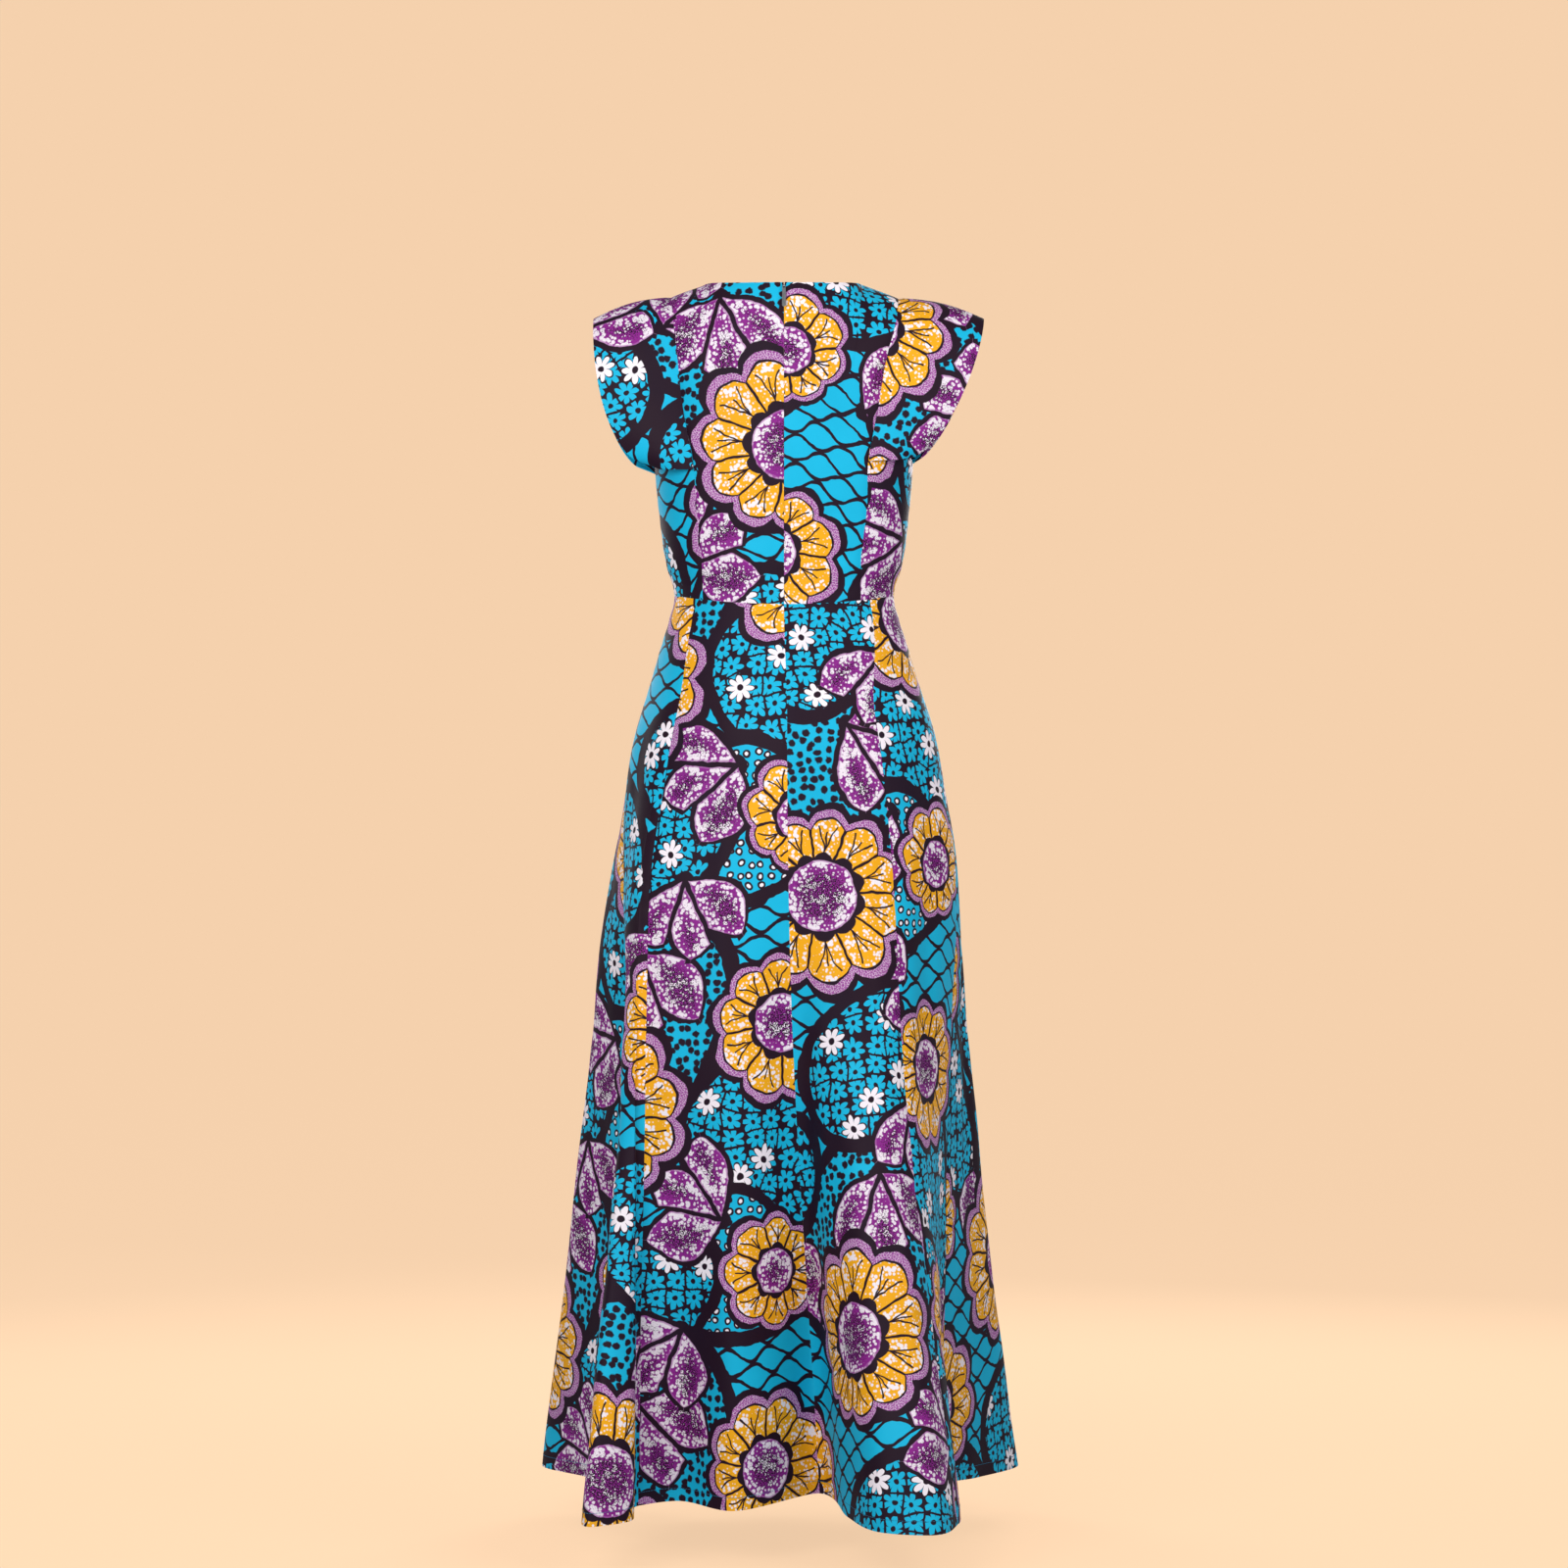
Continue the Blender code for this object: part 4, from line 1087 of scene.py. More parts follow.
def effect(name, inputs, outputs):
    """A new group. Each input has a start value, or the name of its kind where it has none."""
    group = bpy.data.node_groups.new(name, "ShaderNodeTree")
    for label, start in inputs.items():
        kind = SOCKETS.get(start, SOCKETS["value"])
        socket = group.interface.new_socket(label, in_out="INPUT", socket_type=kind)
        if start not in SOCKETS:
            socket.default_value = start
    for label, kind in outputs.items():
        group.interface.new_socket(label, in_out="OUTPUT", socket_type=SOCKETS[kind])
    given = group.nodes.new("NodeGroupInput")
    return group, [Flow(group, given.outputs[label]) for label in inputs]


def put_out(group, **values):
    """Ends a group: each value goes to the output of its name."""
    result = group.nodes.new("NodeGroupOutput")
    for name, value in values.items():
        feed(group, value, result.inputs[name])
    print("group:", group.name, "with", len(group.nodes), "nodes")
    return group


def use(tree, group, **values):
    """The group placed in a tree with its own values. Returns its outputs by name."""
    node = tree.nodes.new("ShaderNodeGroup")
    node.node_tree = group
    for name, value in values.items():
        feed(tree, value, node.inputs[name])
    return {socket.name: Flow(tree, socket) for socket in node.outputs}


print("kinds of socket:", ", ".join(SOCKETS))

# %% The repeat that places every motif
REPEAT_U = 0.43
REPEAT_V = 0.52


def texture(kind, place, **values):
    """A texture node in the plane of the cloth, with these values."""
    node = place.tree.nodes.new("ShaderNodeTex" + kind)
    if kind == "Voronoi":
        node.voronoi_dimensions = "2D"
    else:
        node.noise_dimensions = "2D"
    for name, value in {**values, "Vector": place}.items():
        feed(place.tree, value, node.inputs[name])
    return node


def repeat_group():
    """The place within one repeat, measured from a motif's middle, and a random pick for it."""
    group, (place, from_u, from_v) = effect(
        "Half-drop repeat", {"Place": "vector", "U": 0.0, "V": 0.0},
        {"X": "value", "Y": "value", "Pick": "value"},
    )
    u, v, _ = parts(place)
    u = u - from_u
    lap = nearest(u * (1 / REPEAT_U))
    v = v - from_v - lap * (REPEAT_V / 2)
    row = nearest(v * (1 / REPEAT_V))
    pick = texture("WhiteNoise", joined(group, lap, row)).outputs["Value"]
    return put_out(group, X=u - lap * REPEAT_U, Y=v - row * REPEAT_V, Pick=Flow(group, pick))


HALF_DROP = repeat_group()

# %% [markdown]
# ## What wax leaves in the dye
#
# Hot wax traps bubbles, which stay white, and it cracks when the cloth is handled, which
# leaves a net of fine lines. Random cells give both: the distance to the nearest cell makes
# bubbles, and the distance to the nearest edge between cells makes cracks. The violet dye
# is mottled near the edge of a motif and darker further in, so it has a group of its own.

# %% Marks of the wax
BUBBLE_SCALE = 200.0
BUBBLE_SPREAD = 1.2
SPECK_SCALE = 620.0
CRACKLE_SCALE = 330.0


def cells(place, scale, randomness):
    """Random cells: the distance to the nearest one, its colour and its centre."""
    node = texture("Voronoi", place, Scale=scale, Randomness=randomness)
    return [Flow(place.tree, node.outputs[name]) for name in ("Distance", "Color", "Position")]


def cracks(place, scale, randomness=1.0):
    """Distance to the nearest edge between random cells."""
    node = texture("Voronoi", place, Scale=scale, Randomness=randomness)
    node.feature = "DISTANCE_TO_EDGE"
    return Flow(place.tree, node.outputs["Distance"])


def noise(place, scale, detail=1.0, output="Fac"):
    return Flow(place.tree, texture("Noise", place, Scale=scale, Detail=detail).outputs[output])


def wax_group():
    """What molten wax leaves: a field of bubbles, one of fine specks, and a crackle mask."""
    group, (place,) = effect(
        "Wax marks", {"Place": "vector"},
        {"Bubble": "value", "Speck": "value", "Crackle": "value"},
    )
    bubble = cells(place, BUBBLE_SCALE, 0.9)[0] + (0.5 - noise(place, 60.0)) * BUBBLE_SPREAD
    crackle = under(cracks(place, CRACKLE_SCALE), 0.10, 0.08)
    return put_out(group, Bubble=bubble, Speck=noise(place, SPECK_SCALE), Crackle=crackle)


WAX_MARKS = wax_group()

# %% Violet dye under wax
WAX_DEPTH = 0.018  # over this width a motif turns from its pale edge to its dark middle
WHITE_AT_EDGE, WHITE_LOSS = 0.49, 0.23
DARK_AT_EDGE, DARK_GAIN = 0.28, 0.235
LILAC_RIM = 0.0018


def violet_group():
    """Violet dye under wax: white and mottled near its edge, dark and specked further in."""
    group, (depth, bubble, speck) = effect(
        "Wax violet", {"Depth": 0.01, "Bubble": 0.5, "Speck": 0.5}, {"Colour": "colour"}
    )
    inward = depth.step("MULTIPLY", 1 / WAX_DEPTH, clamp=True)
    white = under(bubble, WHITE_AT_EDGE - WHITE_LOSS * inward, 0.14)
    dark = under(speck, DARK_AT_EDGE + DARK_GAIN * inward, 0.05) * inward
    colour = paint(paint(VIOLET, WHITE, white * 0.92), PLUM, dark)
    return put_out(group, Colour=paint(colour, LILAC, under(depth, LILAC_RIM, 0.0014) * 0.75))


WAX_VIOLET = violet_group()

# %% [markdown]
# ## Motifs
#
# A motif is a rule on the distance and the angle from its middle. In the flower, the angle
# tells which petal a place is in and how far it is from that petal's middle line, and the
# distance is compared with the petal's scalloped edge. A stamp could be drawn once instead,
# but a rule takes another size, turn or number of petals each time it is used.

# %% The scalloped flower
LAP = 2 * math.pi
HEART = 0.35  # radius of the heart, as a share of the flower's
SCALLOP = 0.62  # how deep the notches between the petals are
FINE_LINE = 0.0009
PETAL_LINE = 0.0016
PETAL_MARGIN = 0.0035
PETAL_RINGS = (0.915, 0.83, 0.805, 0.44)  # outer ends of the border, line, petals and heart


def flower_group():
    """A scalloped flower: lilac border, veined amber petals and a violet heart."""
    group, (below, x, y, turn, bubble, crackle, speck, radius, petals, lean) = effect(
        "Scalloped flower",
        {
            "Below": "colour", "X": 0.0, "Y": 0.0, "Turn": 0.0, "Bubble": 0.0, "Crackle": 0.0,
            "Speck": 0.0, "Radius": 0.08, "Petals": 11.0, "Lean": 0.14,
        },
        {"Colour": "colour"},
    )
    r, angle = polar(x, y)
    angle = angle + turn
    reach = radius * (1 + lean * angle.step("COSINE"))
    lobe = angle * petals * (1 / LAP)
    across = lobe - nearest(lobe)
    width = r * LAP / petals
    share = r / (reach * (1.0 - SCALLOP * across * across))
    beside = (0.5 - size_of(across)) * width
    leaning = size_of(size_of(across) - 0.85 * (share - 0.45)) * width
    side_vein = most(leaning, (share - 0.75) * reach)
    vein = least(side_vein, most(size_of(across) * width, (share - 0.66) * reach))
    lilac = paint(LILAC, WHITE, crackle * 0.6)
    lilac = paint(lilac, VIOLET, under(speck, 0.44, 0.06) * 0.8)
    inside_petal = under(-beside, -PETAL_MARGIN, 0.002)
    amber = paint(AMBER, WHITE, under(bubble, 0.25, 0.16) * inside_petal)
    amber = paint(amber, PLUM, under(vein, FINE_LINE))
    amber = paint(amber, PLUM, under(beside, PETAL_LINE))
    edge = HEART * reach - r
    violet = use(group, WAX_VIOLET, Depth=edge, Bubble=bubble, Speck=speck)["Colour"]
    violet = paint(violet, PLUM, under(edge, 0.0))
    colour = PLUM
    for limit, dye in zip(PETAL_RINGS, (lilac, PLUM, amber, violet)):
        colour = paint(colour, dye, under(share, limit, 0.006))
    return put_out(group, Colour=paint(below, colour, under(share, 1.0, 0.008)))


FLOWER = flower_group()

# %% The leaf spray
LEAF_SPREAD = 0.78  # radians from one leaf to the next
LEAF_CURL = 0.008
LEAF_GAP = 0.0028
LEAF_OUTLINE = 0.0068
SPRAY_KNOT = 0.012


def spray_group():
    """A fan of three teardrop leaves."""
    group, (below, x, y, turn, bubble, speck, leaf_length, leaf_width) = effect(
        "Leaf spray",
        {
            "Below": "colour", "X": 0.0, "Y": 0.0, "Turn": 0.0, "Bubble": 0.0, "Speck": 0.0,
            "Length": 0.09, "Width": 0.021,
        },
        {"Colour": "colour"},
    )
    r, angle = polar(x, y)
    angle = angle + turn
    angle = angle - nearest(angle * (1 / LAP)) * LAP
    leaf = held_between(nearest(angle * (1 / LEAF_SPREAD)), -1.0, 1.0)
    inside = angle - leaf * LEAF_SPREAD
    length = r * inside.step("COSINE") / leaf_length
    across = size_of(r * sine(inside) - LEAF_CURL * sine(length * 3.0))
    share = length.step("ADD", 0.0, clamp=True)
    depth = leaf_width * sine((share**1.25) * math.pi) ** 0.8 - across
    beside = r * sine(size_of(size_of(angle) - LEAF_SPREAD / 2))
    depth = least(depth, beside - LEAF_GAP)
    violet = use(group, WAX_VIOLET, Depth=depth, Bubble=bubble, Speck=speck)["Colour"]
    colour = paint(PLUM, violet, under(-depth, 0.0))
    mask = under(-depth, LEAF_OUTLINE) * under(length, 1.05, 0.01)
    return put_out(group, Colour=paint(below, colour, most(mask, under(r, SPRAY_KNOT))))


SPRAY = spray_group()


# %% Banded fields
def field_group():
    """A round field with a broad dark band, filled with another pattern."""
    group, (below, fill, x, y, radius, stretch, band) = effect(
        "Banded field",
        {
            "Below": "colour", "Fill": "colour", "X": 0.0, "Y": 0.0,
            "Radius": 0.15, "Stretch": 1.0, "Band": 0.0175,
        },
        {"Colour": "colour"},
    )
    r = distance(x, y * stretch)
    colour = paint(PLUM, fill, under(r, radius - band))
    return put_out(group, Colour=paint(below, colour, under(r, radius)))


FIELD = field_group()

# %% [markdown]
# ## The ground between the motifs
#
# A wax print leaves no plain ground. Four small patterns fill it: a net of lozenges, spots,
# daisies and eyelets. Two families of wavy lines make the net. The others sit on the random
# cells of a Voronoi texture, which strews them unevenly and yet lets no two lie together.

# %% Daisies and a net
Daisy = namedtuple("Daisy", "scale randomness radius petals heart")
SMALL_DAISY = Daisy(42.0, 0.45, 0.0142, 7.0, 0.0030)
WHITE_DAISY = Daisy(15.0, 0.75, 0.0160, 8.0, 0.0040)
WHITE_DAISY_SHARE = 0.90
DAISY_OUTLINE = 0.0024
DAISY_GAP = 0.054
NET_PITCH, NET_WAVE, NET_SWING, NET_LINE = 0.0170, 0.056, 0.40, 0.0024


def daisies(u, v, place, daisy):
    """Daisies at random cells: distance from the middle, the petals' edge there and a pick."""
    _, random, centre = cells(place, daisy.scale, daisy.randomness)
    centre_u, centre_v, _ = parts(centre)
    turn, pick, _ = parts(random)
    r, angle = polar(u - centre_u, v - centre_v)
    ring = size_of(sine((angle + turn * 6.0) * (daisy.petals / 2)))
    return r, daisy.radius * (0.36 + 0.64 * ring**0.7), pick


def net(u, v):
    """A net of leaning lozenges, from two families of wavy lines."""
    bent = v + 0.010 * sine(u * 17.0 + 1.0) + 0.004 * sine(u * 41.0)
    swell = NET_SWING * sine(u * (LAP / NET_WAVE) + 1.6 * sine(v * 21.0))
    first = (bent * (1 / NET_PITCH) - swell) * 0.5
    second = (bent * (1 / NET_PITCH) + swell + 1) * 0.5
    line = least(size_of(first - nearest(first)), size_of(second - nearest(second)))
    return paint(SKY, PLUM, under(line * (2 * NET_PITCH), NET_LINE))


def daisy_field(u, v, place):
    """Small sky daisies on a dark ground, and larger white ones scattered over them."""
    r, edge, _ = daisies(u, v, place, SMALL_DAISY)
    gap = DAISY_GAP - cracks(place, SMALL_DAISY.scale, SMALL_DAISY.randomness)
    colour = paint(PLUM, SKY, under(r, edge) * under(gap, 0.0, 0.02))
    colour = paint(colour, PLUM, under(r, SMALL_DAISY.heart))
    r, edge, pick = daisies(u, v, place, WHITE_DAISY)
    shown = under(pick, WHITE_DAISY_SHARE, 0.001)
    for dye, limit in ((PLUM, edge + DAISY_OUTLINE), (WHITE, edge), (PLUM, WHITE_DAISY.heart)):
        colour = paint(colour, dye, under(r, limit) * shown)
    return colour


apart = [round(1 / daisy.scale, 3) for daisy in (SMALL_DAISY, WHITE_DAISY)]
print("small and white daisies lie about", apart, "m apart")

# %% The four patterns in one group
SPOT_SCALE, SPOT_SIZE, SPOT_SPREAD = 90.0, 0.27, 0.20
EYELET_SCALE, EYELET_RIM, EYELET_HOLE = 78.0, 0.36, 0.17


def fillers_group():
    """Four small patterns that fill the ground between the motifs."""
    group, (place,) = effect(
        "Ground fillers", {"Place": "vector"},
        {"Net": "colour", "Spots": "colour", "Daisies": "colour", "Eyelets": "colour"},
    )
    u, v, _ = parts(place)
    spot = cells(place, SPOT_SCALE, 0.62)[0]
    spot = under(spot, noise(place, 300.0) * SPOT_SPREAD + SPOT_SIZE, 0.10)
    eye = cells(place, EYELET_SCALE, 0.34)[0]
    eyelets = paint(SKY, PLUM, under(eye, EYELET_RIM, 0.05))
    eyelets = paint(eyelets, WHITE, under(eye, EYELET_HOLE, 0.05))
    return put_out(
        group, Net=net(u, v), Spots=paint(SKY, PLUM, spot),
        Daisies=daisy_field(u, v, place), Eyelets=eyelets,
    )


FILLERS = fillers_group()

# %% [markdown]
# ## The whole print
#
# The layout is one table for each kind of motif. Fields go first, then sprays, then
# flowers, each painted over what is there, as a printer lays one block over another. A
# slight wobble of the place keeps the outlines a little uneven, as if by hand.

# %% The layout of one repeat, in metres
FieldAt = namedtuple("FieldAt", "u v radius stretch fill")
FIELDS = (
    FieldAt(0.04, 0.10, 0.145, 0.85, "Spots"),
    FieldAt(0.25, -0.05, 0.135, 1.10, "Daisies"),
    FieldAt(0.15, 0.33, 0.100, 1.00, "Eyelets"),
    FieldAt(0.03, -0.20, 0.110, 1.15, "Daisies"),
)
SprayAt = namedtuple("SprayAt", "u v length width turn")
SPRAYS = (
    SprayAt(0.050, 0.190, 0.104, 0.031, 0.5),
    SprayAt(0.160, -0.110, 0.098, 0.030, 2.6),
    SprayAt(0.330, 0.290, 0.096, 0.030, -1.2),
    SprayAt(0.105, -0.245, 0.090, 0.028, 1.3),
)
FlowerAt = namedtuple("FlowerAt", "u v radius petals turn")
FLOWERS = (
    FlowerAt(0.00, 0.00, 0.116, 11.0, 0.0),
    FlowerAt(0.225, 0.120, 0.096, 9.0, 2.0),
    FlowerAt(0.235, -0.170, 0.075, 8.0, 4.0),
)
print("fields:", len(FIELDS), "sprays:", len(SPRAYS), "flowers:", len(FLOWERS))

# %% The whole print
HAND_WOBBLE = 0.006
SPRAY_TURNS, FLOWER_TURNS = 1.2, 6.28  # how far a random pick may turn a motif


def print_group():
    group, (place,) = effect("Wax print", {"Place": "vector"}, {"Colour": "colour"})
    u, v, _ = parts(place)
    wobble_u, wobble_v, _ = parts(noise(place, 45.0, 2.0, "Color"))
    u = u + (wobble_u - 0.5) * HAND_WOBBLE
    v = v + (wobble_v - 0.5) * HAND_WOBBLE
    steady = joined(group, u, v)
    swept = joined(
        group,
        u + 0.030 * sine(v * 11.0 + 1.0) + 0.008 * sine(v * 23.0 + u * 9.0),
        v + 0.026 * sine(u * 13.0 + 2.0) + 0.010 * sine(u * 19.0 - v * 7.0),
    )
    marks = use(group, WAX_MARKS, Place=place)
    waxed = {"Bubble": marks["Bubble"], "Speck": marks["Speck"]}
    fill = use(group, FILLERS, Place=steady)
    colour = fill["Net"]

    def laid(motif, one, over, spot, turns=None, **values):
        """The motif laid over the print so far, at its place in every repeat."""
        at = use(group, HALF_DROP, Place=spot, U=one.u, V=one.v)
        if turns is not None:
            values["Turn"] = at["Pick"] * turns + one.turn
        return use(group, motif, Below=over, X=at["X"], Y=at["Y"], **values)["Colour"]

    for one in FIELDS:
        colour = laid(FIELD, one, colour, swept, Fill=fill[one.fill],
                      Radius=one.radius, Stretch=one.stretch)
    for one in SPRAYS:
        colour = laid(SPRAY, one, colour, steady, SPRAY_TURNS,
                      Length=one.length, Width=one.width, **waxed)
    for one in FLOWERS:
        colour = laid(FLOWER, one, colour, steady, FLOWER_TURNS, Crackle=marks["Crackle"],
                      Radius=one.radius, Petals=one.petals, **waxed)
    return put_out(group, Colour=colour)


PRINT = print_group()


# %% Plain weave
def weave_group():
    """Plain weave: a height where the warp and the weft cross, and a slightly uneven dye."""
    group, (place, pitch) = effect(
        "Plain weave", {"Place": "vector", "Pitch": 0.0007},
        {"Height": "value", "Unevenness": "value"},
    )
    u, v, _ = parts(place)
    warp, weft = (sine(along_it * math.pi / pitch) for along_it in (u, v))
    return put_out(group, Height=warp * weft * 0.5 + 0.5, Unevenness=noise(place, 9.0, 3.0))


WEAVE = weave_group()

# %% [markdown]
# ## Materials
#
# Each panel has its own cotton: the same print, cut from another place of the bolt, so the
# motifs break at every seam. Threads 0.7 mm apart are too fine to model, so the weave is a
# bump, and it dulls the surface unevenly. The zip has three materials: a knitted tape, a
# coil dyed to match, and a dull grey metal that is a little scuffed.

# %% Tools for materials
def new_material(name, roughness, metallic=0.0):
    made = bpy.data.materials.new(name)
    made.use_nodes = True
    shader = made.node_tree.nodes["Principled BSDF"]
    shader.inputs["Roughness"].default_value = roughness
    shader.inputs["Metallic"].default_value = metallic
    return made, made.node_tree, shader


def place_on_cloth(tree):
    """The map "cut": metres on the cutting table."""
    node = tree.nodes.new("ShaderNodeUVMap")
    node.uv_map = "cut"
    return Flow(tree, node.outputs["UV"])


def place_in_object(tree):
    return Flow(tree, tree.nodes.new("ShaderNodeTexCoord").outputs["Object"])


def bump(tree, height, depth, strength):
    node = tree.nodes.new("ShaderNodeBump")
    node.inputs["Distance"].default_value = depth
    node.inputs["Strength"].default_value = strength
    feed(tree, height, node.inputs["Height"])
    return Flow(tree, node.outputs["Normal"])


print("panels that need a cotton:", len(made_cloth))

# %% Where each panel is cut from the bolt: metres, and degrees off the grain
Cut = namedtuple("Cut", "u v turn")
CUTS = {
    "bodice_back_left": Cut(0.070, 0.030, 8),
    "bodice_back_right": Cut(0.300, 0.260, 0),
    "bodice_side_back_left": Cut(0.350, 0.110, 0),
    "bodice_side_back_right": Cut(0.140, 0.420, 12),
    "bodice_side_front_left": Cut(0.020, 0.300, 0),
    "bodice_side_front_right": Cut(0.260, 0.050, 0),
    "bodice_front": Cut(0.210, 0.140, 0),
    "sleeve_left": Cut(0.130, 0.210, 75),
    "sleeve_right": Cut(0.340, 0.330, 100),
    "skirt_back_left": Cut(0.160, 0.080, 2),
    "skirt_back_right": Cut(0.020, 0.330, -3),
    "skirt_side_back_left": Cut(0.330, 0.240, 0),
    "skirt_side_back_right": Cut(0.240, 0.140, 4),
    "skirt_side_front_left": Cut(0.100, 0.400, 0),
    "skirt_side_front_right": Cut(0.380, 0.020, 0),
    "skirt_front": Cut(0.050, 0.190, 0),
}
COTTON_GLOSS = 0.16
DEEP_DYE = (0.0, 0.02, 0.05, 1)


def cotton(cut, name):
    """Printed cotton, cut from the bolt at this place and turned this much."""
    made, tree, shader = new_material(name, roughness=0.62)
    place = place_on_cloth(tree)
    move = tree.nodes.new("ShaderNodeMapping")
    move.inputs["Location"].default_value = (cut.u, cut.v, 0)
    move.inputs["Rotation"].default_value = (0, 0, math.radians(cut.turn))
    feed(tree, place, move.inputs["Vector"])
    colour = use(tree, PRINT, Place=Flow(tree, move.outputs["Vector"]))["Colour"]
    weave = use(tree, WEAVE, Place=place)
    uneven = weave["Unevenness"]
    shade = paint(colour, DEEP_DYE, (uneven - 0.40).step("MULTIPLY", 0.25, clamp=True))
    feed(tree, shade, shader.inputs["Base Color"])
    feed(tree, uneven * 0.2 + 0.52, shader.inputs["Roughness"])
    shader.inputs["Specular IOR Level"].default_value = COTTON_GLOSS
    woven = bump(tree, weave["Height"], depth=0.00008, strength=0.5)
    feed(tree, woven, shader.inputs["Normal"])
    return made


for node, piece in made_cloth.items():
    piece.object.data.materials.append(cotton(CUTS[node], "cotton_" + node))
print("cottons:", len(made_cloth))

# %% Tape, coil, thread and metal
KNIT_PITCH = 0.0009
TAPE, tree, shader = new_material("zip_tape_knit", roughness=0.80)
height = sine(parts(place_on_cloth(tree))[1] * (LAP / KNIT_PITCH))
knit = paint(ink(0, 96, 130), ink(0, 74, 104), height * 0.5 + 0.5)
feed(tree, knit, shader.inputs["Base Color"])
feed(tree, bump(tree, height, depth=0.0001, strength=0.6), shader.inputs["Normal"])

METAL, tree, shader = new_material("grey_metal", roughness=0.32, metallic=1.0)
scuffed = noise(place_in_object(tree), 700.0, 4.0)
feed(tree, paint(ink(150, 152, 156), ink(186, 188, 190), scuffed), shader.inputs["Base Color"])
feed(tree, scuffed * 0.22 + 0.24, shader.inputs["Roughness"])
feed(tree, bump(tree, scuffed, depth=0.00003, strength=0.4), shader.inputs["Normal"])

THREAD, _, shader = new_material("sewing_thread", roughness=0.60)
shader.inputs["Base Color"].default_value = ink(20, 120, 160)
COIL, _, shader = new_material("zip_coil", roughness=0.45)
shader.inputs["Base Color"].default_value = ink(0, 92, 126)
print("materials:", len(bpy.data.materials))

# %% [markdown]
# ## The zip
#
# The zip runs down the centre back, behind the two edges of the cloth. Its two tapes are
# sewn to the turned edges and follow every crease, so they are cut from the same surfaces
# as the panels, a little deeper. A straight strip would be simpler, but it would break
# through the cloth where the back curves in at the waist.

# %% The zip's tapes
WALL = 0.0016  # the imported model's wall, which its zip was placed behind
ZIP_END_Z = -0.462
ZIP_TOP_DROP = 0.0015
ZIP_STEP = 0.004
TAPE_HALF = 0.012
TAPE_THICK = 0.0010
TAPE_GAP = 0.0003
TAPE_DEPTH = WALL / 2 + TAPE_GAP + TAPE_THICK / 2
TAPE_LANES = 7
BESIDE_ZIP = 0.25  # share of a skirt panel that the tape is cut from
BESIDE_ZIP_BODICE = 0.3


def beside_centre(grid, width, lanes):
    """Lanes of a panel out to `width` from its centre-back edge, lane 0."""
    rows = []
    for row, near in zip(grid, parting(grid[:, 0, 2])):
        travelled = running(row[None], 1)[0]
        places = np.linspace(near, width, lanes)
        points = [np.interp(places, travelled, values) for values in row.T]
        rows.append(np.stack(points, axis=1))
    return np.array(rows)


def centre_strip(sign):
    """The dress's surface beside the centre back, from the zip's foot up."""
    lanes = np.linspace(0, BESIDE_ZIP, 40)
    if sign > 0:
        first, last = SKIRT_SEAMS[0], SKIRT_SEAMS[1]
    else:
        first, last, lanes = SKIRT_SEAMS[-1], SKIRT_SEAMS[0], 1 - lanes
    skirt = skirt_surface(first, last, lanes, 1 - graded(ZIP_STEP, skirt_length))
    lanes = np.linspace(0, BESIDE_ZIP_BODICE, 30)
    bodice = half_surface(sign, -1, lanes, *half_rows(-1, ZIP_STEP))
    skirt = skirt[skirt[:, 0, 2] > ZIP_END_Z][:-1]
    bodice = bodice[bodice[:, 0, 2] < NECK_BACK_Z - ZIP_TOP_DROP]
    halves = [beside_centre(part, TAPE_HALF, TAPE_LANES) for part in (skirt, bodice)]
    return np.concatenate(halves)


tapes = {}
for side, sign in (("left", -1), ("right", 1)):
    strip = centre_strip(sign)
    strip, relief = outside(strip, seam_relief(strip, ["first"]))
    outward = normals_of(strip)
    strip = strip + outward * (relief + creased(strip, outward) - TAPE_DEPTH)[..., None]
    flat = laid_flat(strip)
    inner = np.full(strip.shape[:2], TAPE_THICK - CLOTH)
    made = shell(f"zip_tape_{side}_cloth", strip, normals_of(strip), flat, inner)
    tapes[side] = Piece(made, (TAPE_HALF, float(np.ptp(flat[..., 1]))), area_of(strip))
    print(made.name, "length", round(tapes[side].flat_size[1], 3))

# %% [markdown]
# ## Small pieces that repeat: the zip's coil and the stitches
#
# The coil of the zip and the stitches of the hem are hundreds of short pieces in a row. A
# loop could place each, but a Geometry Nodes group does it at once and keeps the sizes as
# inputs: it walks along a line and sets a small rod at every step. The inputs are the step,
# the rod's length and radius, and how far it turns from the line. The same group makes the
# coil, with its rods across the tape, and the stitches, with theirs along the thread.

# %% A node group that sets rods along a line
ROD_INPUTS = (
    ("Line", "Geometry", None), ("Step", "Float", 0.0035), ("Length", "Float", 0.0024),
    ("Radius", "Float", 0.00025), ("Turn", "Float", 0.0), ("Material", "Material", None),
)
ROD_SIDES = 6


